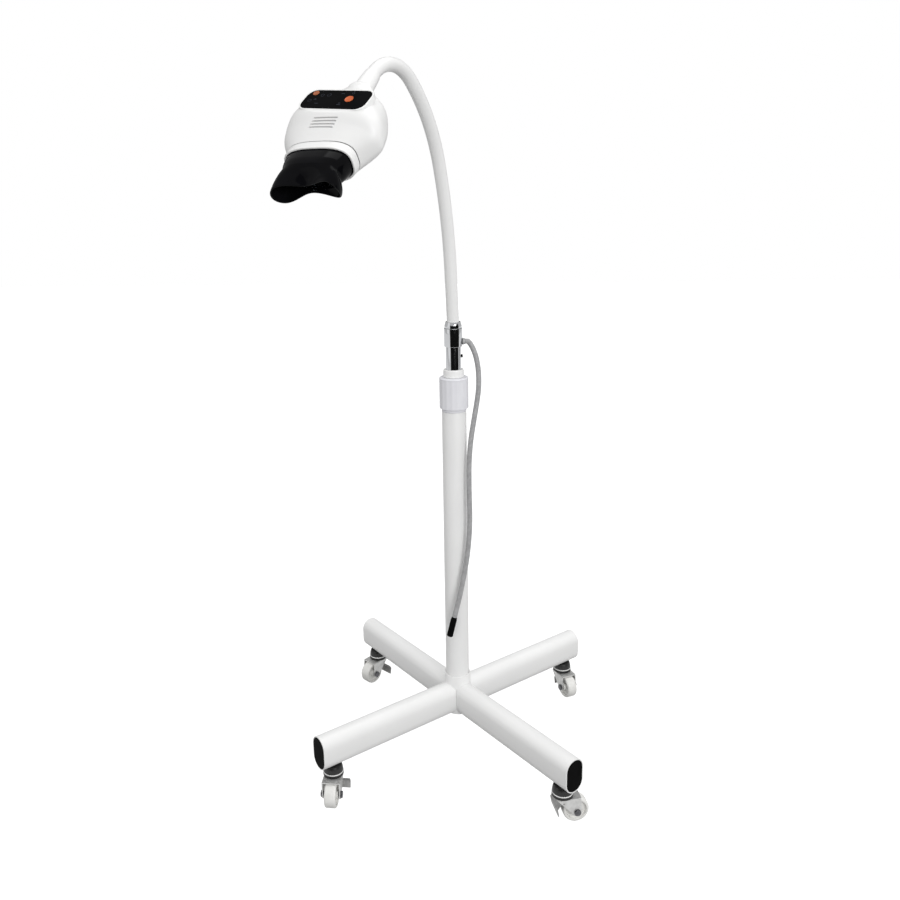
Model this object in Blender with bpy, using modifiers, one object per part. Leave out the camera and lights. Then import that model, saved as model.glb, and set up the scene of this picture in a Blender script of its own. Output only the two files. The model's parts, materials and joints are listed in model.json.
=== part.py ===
"""A teeth whitening lamp on a four-armed castor stand, as separate pieces at their real size.

The stand is worked out with the column on the Z axis and the floor at z = 0. At the end the whole
lamp is shifted sideways, so that the origin lies under the middle of its bounding box.
"""

import math

import bmesh
import bpy
import numpy as np
from mathutils import Matrix, Vector

# Clearances and cuts
GAP = 0.0003
OVERRUN = 0.003
MERGE = 0.00001
EDGE = 0.0008

# Stand arms
ARM_COUNT = 4
ARM_REACH = 0.335
ARM_WIDTH = 0.0424
ARM_HEIGHT = 0.0672
ARM_WALL = 0.002
CAP_DEPTH = 0.018
CAP_PROUD = 0.0006

# Castors
CASTOR_INSET = 0.030
CASTOR_HEIGHT = 0.0742
DOME_TOP_RADIUS = 0.0150
DOME_RADIUS = 0.0191
DOME_HEIGHT = 0.0152
GROOVE_WIDTH = 0.0006
GROOVE_DEPTH = 0.0015
RACE_RADIUS = 0.0197
RACE_THICKNESS = 0.0051
STEM_RADIUS = 0.005
STEM_LENGTH = 0.018
KINGPIN_RADIUS = 0.004
RIVET_RADIUS = 0.007
RIVET_THICKNESS = 0.0014
FORK_WIDTH = 0.035
FORK_SHEET = 0.002
FORK_PLATE = 0.0025
FORK_FRONT = 0.031
FORK_BACK = 0.013
LEG_SHOULDER = 0.0068
LEG_BACK = 0.0055
AXLE_BOSS = 0.0085
AXLE_RADIUS = 0.004
AXLE_HEAD_RADIUS = 0.0065
AXLE_HEAD = 0.003
WHEEL_RADIUS = 0.0245
WHEEL_WIDTH = 0.0222
WHEEL_TRAIL = 0.0236
WHEEL_HUB_RADIUS = 0.009
WHEEL_HUB_WIDTH = 0.026
WHEEL_WEB = 0.012
WHEEL_RIM = 0.006
BRAKE_PIN = 0.0016
BRAKE_BOSS = 0.0035
BRAKE_BACK = 0.002
BRAKE_DROP = 0.0056
BRAKE_SHEET = 0.0022
BRAKE_INSIDE = 0.0120
BRAKE_OUTSIDE = 0.0300
KNEE_BACK = 0.0105
KNEE_DROP = 0.0159
TOE_FORWARD = 0.0027
TOE_DROP = 0.0140
TAB_DROP = 0.0085

# Column
COLUMN_RADIUS = 0.0237
COLUMN_WALL = 0.0015
COLUMN_TOP = 0.7190
SOCKET_WALL = 0.0025
SOCKET_FLOOR = 0.005
SOCKET_RISE = 0.0183

# Height collar and the bush in it
COLLAR_RADIUS = 0.028
COLLAR_HEIGHT = 0.0605
COLLAR_FOOT = 0.006
COLLAR_BEVEL = 0.0018
BUSH_RADIUS = 0.0187
BUSH_HEAD_RADIUS = 0.0203
BUSH_HEAD = 0.0148
BUSH_DEPTH = 0.079

# Mast
MAST_RADIUS = 0.01455
MAST_WALL = 0.0015
MAST_DEPTH = 0.359
MAST_RISE = 0.149
GUIDE_HEIGHT = 0.022
GUIDE_FLOOR = 0.004
SLEEVE_GRIP = 0.023
SLEEVE_RISE = 0.012
SLEEVE_RADIUS = 0.0172
NUT_HEIGHT = 0.012
NUT_TOP_RADIUS = 0.0142
NUT_CHAMFER = 0.004
SIDE_HEADING = math.radians(10.5)
STOP_SHARE = 0.57
STOP_RADIUS = 0.0033
STOP_HEAD = 0.003
STOP_SHANK = 0.0016

# Neck: a straight foot, a slight lean, then three bends, each tighter than the last
NECK_HEADING = math.radians(-116.16)
NECK_RADIUS = 0.0115
NECK_WALL = 0.0016
NECK_PLUG = 0.015
NECK_RISE = 0.018
NECK_LEAN = math.radians(3.3)
NECK_LEAN_RADIUS = 0.12
NECK_STRAIGHT = 0.0895
LOW_BEND_RADIUS = 0.9016
LOW_BEND = math.radians(12.9)
MIDDLE_BEND_RADIUS = 0.2904
MIDDLE_BEND = math.radians(30.8)
TOP_BEND_RADIUS = 0.0748
NECK_END = 0.0345
NECK_INSERT = 0.014
BOOT_LENGTH = 0.034
BOOT_REAR_RADIUS = 0.0130
BOOT_FRONT_RADIUS = 0.0152
HEAD_BUSH_RADIUS = 0.0133
HEAD_BUSH_START = 0.0066
HEAD_BUSH_LENGTH = 0.007

# Head: its z axis is the direction that the light leaves in, its x axis runs across
HEAD_PITCH = math.radians(43)
HEAD_ROLL = math.radians(-7)
HEAD_LENGTH = 0.1459
HEAD_WIDTH = 0.166
HEAD_DEPTH = 0.0400
HEAD_CROWN = 0.0400
HEAD_WALL = 0.0025
HEAD_HOLE = 0.0128
PARTING_DROP = 0.028
TILT_START_SHARE = 0.6
head_ring_shares = (0, 0.008, 0.04, 0.082, 0.16, 0.247, 0.34, 0.425, 0.52, 0.616, 0.71, 0.808, 0.91, 1)
head_station_shares = (0.0, 0.008, 0.082, 0.247, 0.425, 0.616, 0.808)
head_width_shares = (0.154, 0.197, 0.315, 0.675, 0.85, 0.98, 1.0)
head_crown_shares = (0.32, 0.375, 0.43, 0.655, 1.0, 1.0, 0.77)
head_belly_shares = (0.32, 0.395, 0.595, 0.96, 1.03, 0.93, 1.0)
head_middle_shares = (0.0, 0.0, -0.01, -0.13, -0.22, -0.16, -0.24)
head_square_shares = (2.0, 2.0, 2.1, 2.2, 2.6, 3.0, 2.4)

# Control panel on the head, and the rim round it
PANEL_PLACE = 0.0660
PANEL_LEVEL = 0.0348
PANEL_LEAN = 0.1
PANEL_WIDTH = 0.1175
PANEL_LENGTH = 0.0470
PANEL_CORNER = 0.015
PANEL_THICKNESS = 0.0022
PANEL_PROUD = 0.0004
RIM_WIDTH = 0.0022
RIM_DEPTH = 0.0100
BOARD_WIDTH = 0.084
BOARD_LENGTH = 0.036
BOARD_THICKNESS = 0.0016
BOARD_DROP = 0.0040
POST_RADIUS = 0.0022
POWER_RADIUS = 0.0052
POWER_PLACE = (-0.0452, 0.0152)
START_RADIUS = 0.0070
START_PLACE = (0.0231, 0.0019)
BUTTON_PROUD = 0.0008
BUTTON_FLANGE = 0.0012

# Vents in the crown
VENT_COUNT = 4
VENT_WIDTH = 0.043
VENT_SLOT = 0.0020
VENT_PITCH = 0.0045
VENT_PLACE = 0.1048
VENT_DEPTH = 0.014
VENT_STAGGER = 0.0016
VENT_TURN = math.radians(3.7)

# Front bezel and the light engine behind it, measured from the head's mouth
FRONT_LEVEL = -0.0099
FRONT_TILT = 0.2
FRONT_TURN = 0.12
BEZEL_HALF_WIDTH = 0.0600
BEZEL_HALF_HEIGHT = 0.0310
BEZEL_TAPER = 0.0010
BEZEL_DEPTH = 0.0150
BEZEL_FLANGE = 0.0025
BEZEL_WALL = 0.0028
FLANGE_INSET = 0.007
FRONT_SQUARE = 2.9
WINDOW_INSET = 0.003
WINDOW_THICKNESS = 0.003
REFLECTOR_DEPTH = 0.0130
REFLECTOR_WALL = 0.003
LED_BOARD_THICKNESS = 0.0016
LED_SIZE = 0.007
LED_HEIGHT = 0.002
LED_PITCH = 0.0175
LED_ROW = 0.009
ENGINE_RISE = 0.007
SINK_HALF_WIDTH = 0.040
SINK_HALF_HEIGHT = 0.019
SINK_BASE = 0.004
SINK_FIN = 0.0115
SINK_FINS = 9
SINK_FIN_THICKNESS = 0.0018
FAN_SIZE = 0.040
FAN_DEPTH = 0.0105
FAN_BORE = 0.0188
SPIDER = 0.0015
SPIDER_ARM = 0.0050
FAN_HUB = 0.0085
FAN_SHAFT = 0.0016
BLADE_COUNT = 7
BLADE_REACH = 0.0180
BLADE_CHORD = 0.0080
BLADE_SHEET = 0.0009
BLADE_TWIST = math.radians(38)

# Mouthpiece, measured from the head's mouth
MOUTH_ROOT = 0.0036
MOUTH_WALL = 0.0022
MOUTH_WAIST = 0.0420
MOUTH_RIM = 0.0593
MOUTH_WRAP = 0.0134
MOUTH_WRAP_POWER = 2.36
MOUTH_TILT = 0.43
MOUTH_TURN = 0.15
MOUTH_DROP = 0.0127
LOBE_PLACE = 0.0386
LOBE_RADIUS = 0.0153
LOBE_HEIGHT = 0.0195
MOUTH_PINCH = 0.0090
mouth_blend_shares = (0.0, 0.0, 0.0, 0.04, 0.12, 0.32, 0.62, 0.88, 1.0)
mouth_place_shares = (0.0, 0.35, 0.75, 1.0, 0.15, 0.35, 0.62, 0.85, 1.0)
mouth_narrow_shares = (0.0, 0.02, 0.07, 0.13, 0.12, 0.07, 0.02, 0.0, 0.0)

# Hose, from the sleeve down to its connector; its route's heights are measured from the grommet
HOSE_RADIUS = 0.005
HOSE_STEP = 0.022
GROMMET_RADIUS = 0.0066
GROMMET_LENGTH = 0.005
GROMMET_SPIGOT = 0.0038
PLUG_RADIUS = 0.0062
PLUG_LENGTH = 0.042
HOSE_DROP = 0.014
hose_route = (
    (0.0340, 0.0063, -0.009),
    (0.0405, 0.0060, -0.024),
    (0.0450, 0.0045, -0.042),
    (0.0475, 0.0030, -0.064),
    (0.0475, 0.0010, -0.089),
    (0.0445, -0.0020, -0.116),
    (0.0390, -0.0085, -0.151),
    (0.0335, -0.0145, -0.189),
    (0.0305, -0.0195, -0.228),
    (0.0300, -0.0225, -0.267),
    (0.0305, -0.0240, -0.308),
    (0.0310, -0.0245, -0.349),
    (0.0290, -0.0265, -0.391),
    (0.0245, -0.0300, -0.432),
    (0.0175, -0.0340, -0.473),
    (0.0100, -0.0380, -0.510),
    (0.0004, -0.0412, -0.550),
)

# Steps round a circle
FINE = 28
MEDIUM = 20
SMALL = 12
HEAD_AROUND = 28
MOUTH_AROUND = 36

QUARTER = math.pi / 2
UP = Vector((0, 0, 1))
ALONG_X = Matrix(((0, 0, 1, 0), (1, 0, 0, 0), (0, 1, 0, 0), (0, 0, 0, 1)))

# Heights and reaches that follow from the sizes above
DOME_FOOT = CASTOR_HEIGHT - DOME_HEIGHT
RACE_TOP = DOME_FOOT - GROOVE_WIDTH
RACE_FOOT = RACE_TOP - RACE_THICKNESS
FORK_TOP = RACE_FOOT - GAP
FORK_PLATE_FOOT = FORK_TOP - FORK_PLATE
RIVET_TOP = FORK_PLATE_FOOT - GAP
RIVET_FOOT = RIVET_TOP - RIVET_THICKNESS
BRAKE_HEIGHT = FORK_PLATE_FOOT - BRAKE_DROP
ARM_FOOT = CASTOR_HEIGHT + GAP
ARM_TOP = ARM_FOOT + ARM_HEIGHT
ARM_END = ARM_REACH - CAP_PROUD
CASTOR_REACH = ARM_REACH - CASTOR_INSET
SOCKET_BORE = COLUMN_RADIUS + GAP
SOCKET_RADIUS = SOCKET_BORE + SOCKET_WALL
SOCKET_TOP = ARM_TOP + SOCKET_RISE
COLUMN_FOOT = ARM_FOOT + SOCKET_FLOOR + GAP
COLUMN_BORE = COLUMN_RADIUS - COLUMN_WALL
COLLAR_START = COLUMN_TOP + GAP + COLLAR_FOOT
COLLAR_TOP = COLLAR_START + COLLAR_HEIGHT
BUSH_BORE = MAST_RADIUS + GAP
BUSH_TOP = COLLAR_TOP + GAP + BUSH_HEAD
MAST_BORE = MAST_RADIUS - MAST_WALL
MAST_FOOT = COLUMN_TOP - MAST_DEPTH
MAST_TOP = COLUMN_TOP + MAST_RISE
SLEEVE_FOOT = MAST_TOP - SLEEVE_GRIP
SLEEVE_TOP = MAST_TOP + SLEEVE_RISE
STOP_HEIGHT = BUSH_TOP + STOP_SHARE * (SLEEVE_FOOT - BUSH_TOP)
HOSE_HEIGHT = MAST_TOP - HOSE_DROP
NECK_FOOT = MAST_TOP - NECK_PLUG
NECK_LEAN_START = MAST_TOP + NECK_RISE
NECK_BORE = NECK_RADIUS + GAP
HEAD_ANGLE = QUARTER + HEAD_PITCH
TOP_BEND = HEAD_ANGLE - NECK_LEAN - LOW_BEND - MIDDLE_BEND
BEZEL_REAR = GAP
BEZEL_FRONT = BEZEL_REAR + BEZEL_DEPTH
SKIRT_HALF_WIDTH = BEZEL_HALF_WIDTH - BEZEL_WALL - BEZEL_TAPER - GAP
SKIRT_HALF_HEIGHT = BEZEL_HALF_HEIGHT - BEZEL_WALL - BEZEL_TAPER - GAP
WINDOW_FRONT = BEZEL_REAR - GAP
WINDOW_REAR = WINDOW_FRONT - WINDOW_THICKNESS
REFLECTOR_REAR = WINDOW_REAR - GAP - REFLECTOR_DEPTH
LED_FRONT = REFLECTOR_REAR - GAP
SINK_FRONT = LED_FRONT - LED_BOARD_THICKNESS - GAP
FAN_FRONT = SINK_FRONT - SINK_BASE - SINK_FIN - GAP
FAN_REAR = FAN_FRONT - FAN_DEPTH

scene = bpy.context.scene
for old in list(bpy.data.objects):
    bpy.data.objects.remove(old)
lamp = bpy.data.collections.new("teeth_whitening_lamp")
helpers = bpy.data.collections.new("cutters")
for collection in (lamp, helpers):
    scene.collection.children.link(collection)
helpers.hide_render = True


def finish(name, colour, roughness, metallic=0.0):
    """A Principled material of one colour."""
    material = bpy.data.materials.new(name)
    material.use_nodes = True
    shader = material.node_tree.nodes["Principled BSDF"]
    shader.inputs["Base Color"].default_value = (*colour, 1)
    shader.inputs["Roughness"].default_value = roughness
    shader.inputs["Metallic"].default_value = metallic
    material.diffuse_color = (*colour, 1)
    return material


WHITE_PAINT = ("white_paint", (0.86, 0.86, 0.85), 0.35)
WHITE_PLASTIC = ("white_plastic", (0.88, 0.88, 0.87), 0.3)
GREY_PLASTIC = ("grey_plastic", (0.75, 0.75, 0.78), 0.4)
BLACK_GLOSS = ("black_gloss", (0.012, 0.012, 0.013), 0.12)
BLACK_PLASTIC = ("black_plastic", (0.02, 0.02, 0.02), 0.5)
CHROME = ("chrome", (0.75, 0.76, 0.78), 0.08, 1.0)
STEEL = ("steel", (0.55, 0.56, 0.58), 0.3, 1.0)
ALUMINIUM = ("aluminium", (0.7, 0.71, 0.73), 0.35, 1.0)
WHEEL_NYLON = ("wheel_nylon", (0.85, 0.85, 0.83), 0.45)
GREY_HOSE = ("grey_hose", (0.42, 0.42, 0.42), 0.45)
ORANGE = ("orange_button", (0.85, 0.22, 0.05), 0.35)
BOARD_GREEN = ("board_green", (0.03, 0.22, 0.08), 0.5)
BOARD_WHITE = ("board_white", (0.8, 0.8, 0.78), 0.5)
CLEAR = ("clear_window", (0.75, 0.82, 0.9), 0.05)


def new_piece(name, mesh, look):
    """An object of the lamp, with a material of its own."""
    piece = bpy.data.objects.new(name, mesh)
    lamp.objects.link(piece)
    mesh.materials.clear()
    mesh.materials.append(finish(f"{name}_{look[0]}", *look[1:]))
    return piece


def evaluated_mesh(thing):
    """The mesh that a curve or a modifier stack comes to, with its loose caps welded."""
    bpy.context.view_layer.update()
    graph = bpy.context.evaluated_depsgraph_get()
    mesh = bpy.data.meshes.new_from_object(thing.evaluated_get(graph))
    shape = bmesh.new()
    shape.from_mesh(mesh)
    bmesh.ops.remove_doubles(shape, verts=shape.verts, dist=MERGE)
    shape.to_mesh(mesh)
    shape.free()
    return mesh


def shaded(mesh, limit=math.radians(35)):
    """Smooth shading, with sharp edges where faces meet at more than the limit."""
    mesh.shade_smooth()
    mesh.set_sharp_from_angle(angle=limit)
    return mesh


def extruded(name, outlines, thickness, look):
    """A plate from flat outlines in X and Y, the inner ones holes, with z = 0 at half its thickness."""
    curve = bpy.data.curves.new(name, "CURVE")
    curve.dimensions = "2D"
    curve.fill_mode = "BOTH"
    curve.extrude = thickness / 2
    for outline in outlines:
        spline = curve.splines.new("POLY")
        spline.points.add(len(outline) - 1)
        for point, (x, y) in zip(spline.points, outline):
            point.co = (x, y, 0, 1)
        spline.use_cyclic_u = True
    guide = bpy.data.objects.new(name, curve)
    scene.collection.objects.link(guide)
    mesh = shaded(evaluated_mesh(guide))
    bpy.data.objects.remove(guide)
    return new_piece(name, mesh, look)


def turned(name, profile, steps, look, closed=False):
    """A turned piece about Z, from (radius, height) points that run down its outer side."""
    mesh = bpy.data.meshes.new(name)
    count = len(profile)
    edges = [(i, (i + 1) % count) for i in range(count if closed else count - 1)]
    mesh.from_pydata([(radius, 0, height) for radius, height in profile], edges, [])
    guide = bpy.data.objects.new(name, mesh)
    scene.collection.objects.link(guide)
    screw = guide.modifiers.new("turn", "SCREW")
    screw.steps = steps
    screw.render_steps = steps
    screw.use_merge_vertices = True
    screw.merge_threshold = MERGE
    solid = shaded(evaluated_mesh(guide))
    bpy.data.objects.remove(guide)
    return new_piece(name, solid, look)


def box(name, low, high, look=BLACK_PLASTIC):
    """A box between two corners."""
    shape = bmesh.new()
    bmesh.ops.create_cube(shape, size=1)
    low, high = Vector(low), Vector(high)
    size = Matrix.Diagonal((*(high - low), 1))
    shape.transform(Matrix.Translation((low + high) / 2) @ size)
    mesh = bpy.data.meshes.new(name)
    shape.to_mesh(mesh)
    shape.free()
    return new_piece(name, mesh, look)


def rod(name, radius, low, high, steps=SMALL, look=BLACK_PLASTIC):
    """A cylinder about Z between two heights."""
    return turned(name, ((0, high), (radius, high), (radius, low), (0, low)), steps, look)


def tube(name, points, radius, resolution, look, capped=True):
    """A round tube along points, closed at its ends or left open."""
    curve = bpy.data.curves.new(name, "CURVE")
    curve.dimensions = "3D"
    curve.bevel_depth = radius
    curve.bevel_resolution = resolution
    curve.use_fill_caps = capped
    spline = curve.splines.new("POLY")
    spline.points.add(len(points) - 1)
    for point, place in zip(spline.points, points):
        point.co = (*place, 1)
        point.radius = 1
    spline.use_smooth = True
    piece = bpy.data.objects.new(name, curve)
    lamp.objects.link(piece)
    curve.materials.append(finish(f"{name}_{look[0]}", *look[1:]))
    return piece


def lofted(name, rings, look, closed=False):
    """A surface through rings of equal point counts, an open tube or, closed, a ring-shaped solid."""
    rows, count = len(rings), len(rings[0])
    faces = []
    for i in range(rows if closed else rows - 1):
        low, high = i * count, (i + 1) % rows * count
        for j in range(count):
            k = (j + 1) % count
            faces.append((low + j, low + k, high + k, high + j))
    mesh = bpy.data.meshes.new(name)
    mesh.from_pydata([tuple(point) for ring in rings for point in ring], [], faces)
    return new_piece(name, shaded(mesh), look)


def combine(piece, other, operation):
    """A Boolean of a piece with a helper, which then belongs to the piece."""
    lamp.objects.unlink(other)
    helpers.objects.link(other)
    other.hide_render = True
    other.display_type = "WIRE"
    other.parent = piece
    boolean = piece.modifiers.new(other.name, "BOOLEAN")
    boolean.operation = operation
    boolean.object = other
    return piece


def cut(piece, *cutters):
    for cutter in cutters:
        combine(piece, cutter, "DIFFERENCE")
    return piece


def joined(piece, *others):
    for other in others:
        combine(piece, other, "UNION")
    return piece


def moved(piece, *steps):
    """Moves a mesh and its helpers' meshes, so that the object's origin stays on its joint's axis."""
    for step in steps:
        for thing in (piece, *piece.children_recursive):
            thing.data.transform(step)
    return piece


def shift(x=0, y=0, z=0):
    return Matrix.Translation((x, y, z))


def turn(angle, axis):
    return Matrix.Rotation(angle, 4, axis)


def axis_at(name, matrix, parent=None):
    """An empty that carries the pieces of one moving body."""
    empty = bpy.data.objects.new(name, None)
    lamp.objects.link(empty)
    empty.parent = parent
    empty.matrix_local = matrix
    return empty


def carried(parent, *pieces):
    for piece in pieces:
        piece.parent = parent


def copies(piece, names):
    """Objects that share the finished mesh of one piece, which they replace."""
    mesh = shaded(evaluated_mesh(piece))
    material = piece.data.materials[0]
    for helper in list(piece.children):
        bpy.data.objects.remove(helper)
    bpy.data.objects.remove(piece)
    mesh.materials.clear()
    mesh.materials.append(material)
    made = [bpy.data.objects.new(name, mesh) for name in names]
    for copy in made:
        lamp.objects.link(copy)
    return made


def arc(radius, start, end, steps, centre=(0, 0)):
    angles = np.linspace(start, end, steps)
    return [(centre[0] + radius * math.cos(a), centre[1] + radius * math.sin(a)) for a in angles]


def circle(radius, steps, centre=(0, 0)):
    return arc(radius, 0, 2 * math.pi * (1 - 1 / steps), steps, centre)


def rounded_box(half_width, half_height, corner, steps):
    """A rectangle with round corners; a corner of half the width makes a stadium."""
    points = []
    corners = ((1, 1), (-1, 1), (-1, -1), (1, -1))
    for quarter, (right, top) in enumerate(corners):
        centre = (right * (half_width - corner), top * (half_height - corner))
        start = quarter * QUARTER
        points += arc(corner, start, start + QUARTER, steps, centre)
    return [p for p, q in zip(points, points[-1:] + points[:-1]) if math.dist(p, q) > MERGE]


def superellipse(half_width, half_height, power, steps):
    """Points of |x/w|^n + |y/h|^n = 1, evenly spaced in the parameter."""
    angle = np.arange(steps) * 2 * math.pi / steps
    c, s = np.cos(angle), np.sin(angle)
    x = half_width * np.sign(c) * np.abs(c) ** (2 / power)
    y = half_height * np.sign(s) * np.abs(s) ** (2 / power)
    return x, y


def at_level(x, y, z):
    """Rings as (x, y, z) rows, with z one height or an array."""
    return np.stack([x, y, np.broadcast_to(z, x.shape)], axis=1)


def smooth_between(shares, places, wanted):
    """A smooth curve through values at places, read at the wanted places."""
    places, shares = np.array(places), np.array(shares)
    slopes = np.gradient(shares, places)
    i = np.clip(np.searchsorted(places, wanted) - 1, 0, len(places) - 2)
    span = places[i + 1] - places[i]
    t = (wanted - places[i]) / span
    rise = (2 * t**3 - 3 * t**2 + 1) * shares[i] + (3 * t**2 - 2 * t**3) * shares[i + 1]
    bend = (t**3 - 2 * t**2 + t) * slopes[i] + (t**3 - t**2) * slopes[i + 1]
    return rise + bend * span


def smooth_route(points, step):
    """A Catmull-Rom curve through points, read about every step of its length."""
    points = np.array(points)
    ends = np.vstack([2 * points[0] - points[1], points, 2 * points[-1] - points[-2]])
    found = []
    for a, b, c, d in zip(ends, ends[1:], ends[2:], ends[3:]):
        count = max(1, round(float(np.linalg.norm(c - b)) / step))
        for t in np.arange(count) / count:
            bend = 2 * a - 5 * b + 4 * c - d
            twist = 3 * b - 3 * c + d - a
            found.append((2 * b + (c - a) * t + bend * t**2 + twist * t**3) / 2)
    return [*found, points[-1]]


# The stand: a socket, four arms with caps, and the column

base = axis_at("stand_origin", Matrix())


def base_socket():
    """A cup for the column's foot, between the arms and a little above them."""
    profile = (
        (0, COLUMN_FOOT - GAP),
        (SOCKET_BORE, COLUMN_FOOT - GAP),
        (SOCKET_BORE, SOCKET_TOP),
        (SOCKET_RADIUS - EDGE, SOCKET_TOP),
        (SOCKET_RADIUS, SOCKET_TOP - EDGE),
        (SOCKET_RADIUS, ARM_FOOT),
        (0, ARM_FOOT),
    )
    return turned("base_socket", profile, FINE, WHITE_PAINT)


def arm():
    """A flat oval tube from the socket to its cap, mitred against its neighbours."""
    outer = rounded_box(ARM_WIDTH / 2, ARM_HEIGHT / 2, ARM_WIDTH / 2, 7)
    inner_width = ARM_WIDTH / 2 - ARM_WALL
    inner = rounded_box(inner_width, ARM_HEIGHT / 2 - ARM_WALL, inner_width, 7)
    tube_piece = extruded("arm", (outer, inner), ARM_END, WHITE_PAINT)
    moved(tube_piece, ALONG_X, shift(ARM_END / 2, 0, ARM_FOOT + ARM_HEIGHT / 2))
    low, high = ARM_FOOT - OVERRUN, ARM_TOP + OVERRUN
    half_angle = math.pi / ARM_COUNT
    for side in (-1, 1):
        mitre = box("mitre", (-ARM_WIDTH, -ARM_WIDTH, low), (GAP / 2, ARM_WIDTH, high))
        cut(tube_piece, moved(mitre, turn(side * (QUARTER - half_angle), "Z")))
    core = rod("core", SOCKET_RADIUS + GAP, low, high, FINE)
    stem = rod("stem_hole", STEM_RADIUS + GAP, low, ARM_FOOT + ARM_WALL + OVERRUN)
    return cut(tube_piece, core, moved(stem, shift(CASTOR_REACH)))


def arm_cap():
    """A black plug that grips the inside of an arm's end and stands a little proud of it."""
    inset = ARM_WALL + GAP
    grip = rounded_box(ARM_WIDTH / 2 - inset, ARM_HEIGHT / 2 - inset, ARM_WIDTH / 2 - inset, 7)
    cap = extruded("cap", (grip,), CAP_DEPTH, BLACK_PLASTIC)
    return moved(cap, ALONG_X, shift(ARM_REACH - CAP_DEPTH / 2, 0, ARM_FOOT + ARM_HEIGHT / 2))


def column():
    profile = (
        (COLUMN_RADIUS, COLUMN_TOP),
        (COLUMN_RADIUS, COLUMN_FOOT),
        (COLUMN_BORE, COLUMN_FOOT),
        (COLUMN_BORE, COLUMN_TOP),
    )
    return turned("column_tube", profile, FINE, WHITE_PAINT, closed=True)


def column_bush():
    """A white guide in the column's top, flared above the collar, that the mast slides in."""
    guide_radius = COLUMN_BORE - GAP
    profile = (
        (BUSH_HEAD_RADIUS - 2 * EDGE, BUSH_TOP),
        (BUSH_HEAD_RADIUS - EDGE, BUSH_TOP - 2 * EDGE),
        (BUSH_HEAD_RADIUS, COLLAR_TOP + GAP + EDGE),
        (BUSH_RADIUS, COLLAR_TOP + GAP),
        (BUSH_RADIUS, COLUMN_TOP),
        (guide_radius, COLUMN_TOP),
        (guide_radius, COLUMN_TOP - BUSH_DEPTH),
        (BUSH_BORE, COLUMN_TOP - BUSH_DEPTH),
        (BUSH_BORE, BUSH_TOP),
    )
    return turned("column_bush", profile, FINE, WHITE_PLASTIC, closed=True)


def height_collar():
    """The twist collar round the bush that clamps the mast, standing on the column's rim."""
    bore = BUSH_RADIUS + GAP
    profile = (
        (COLLAR_RADIUS - COLLAR_BEVEL, COLLAR_TOP),
        (COLLAR_RADIUS, COLLAR_TOP - COLLAR_BEVEL),
        (COLLAR_RADIUS, COLLAR_START + EDGE),
        (COLLAR_RADIUS - EDGE, COLLAR_START),
        (COLUMN_RADIUS, COLLAR_START),
        (COLUMN_RADIUS, COLUMN_TOP + GAP),
        (bore, COLUMN_TOP + GAP),
        (bore, COLLAR_TOP),
    )
    return turned("height_collar", profile, FINE, GREY_PLASTIC, closed=True)


carried(base, base_socket(), column(), column_bush())
collar_axis = axis_at("collar_axis", Matrix(), base)
carried(collar_axis, height_collar())

corners = ("front_left", "front_right", "back_right", "back_left")
arm_angles = [math.radians(-135 + 360 / ARM_COUNT * i) for i in range(ARM_COUNT)]
arms = copies(arm(), [f"arm_{corner}" for corner in corners])
caps = copies(arm_cap(), [f"arm_cap_{corner}" for corner in corners])
for arm_piece, cap_piece, angle in zip(arms, caps, arm_angles):
    for piece in (arm_piece, cap_piece):
        piece.parent = base
        piece.matrix_local = turn(angle, "Z")


# Castors: made once about the z axis with the wheel trailing along +X, then copied to each arm


def castor_top():
    """The fixed top: a threaded stem, a dome, the ball race under it, and the riveted kingpin."""
    dome = []
    for turned_by in np.linspace(0, QUARTER, 5):
        radius = DOME_TOP_RADIUS + (DOME_RADIUS - DOME_TOP_RADIUS) * math.sin(turned_by)
        dome.append((radius, CASTOR_HEIGHT - DOME_HEIGHT * (1 - math.cos(turned_by))))
    profile = (
        (0, CASTOR_HEIGHT + STEM_LENGTH),
        (STEM_RADIUS - EDGE, CASTOR_HEIGHT + STEM_LENGTH),
        (STEM_RADIUS, CASTOR_HEIGHT + STEM_LENGTH - EDGE),
        (STEM_RADIUS, CASTOR_HEIGHT),
        *dome,
        (DOME_RADIUS - GROOVE_DEPTH, DOME_FOOT),
        (DOME_RADIUS - GROOVE_DEPTH, RACE_TOP),
        (RACE_RADIUS, RACE_TOP),
        (RACE_RADIUS, RACE_FOOT),
        (KINGPIN_RADIUS, RACE_FOOT),
        (KINGPIN_RADIUS, RIVET_TOP),
        (RIVET_RADIUS, RIVET_TOP),
        (RIVET_RADIUS - EDGE, RIVET_FOOT),
        (0, RIVET_FOOT),
    )
    return turned("castor_top", profile, 16, BLACK_PLASTIC)


def tangent_angle(point, centre, radius, side):
    """Where a line from a point touches a circle, as an angle round the circle's centre."""
    away = math.atan2(point[1] - centre[1], point[0] - centre[0])
    return away + side * math.acos(radius / math.dist(point, centre))


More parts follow.
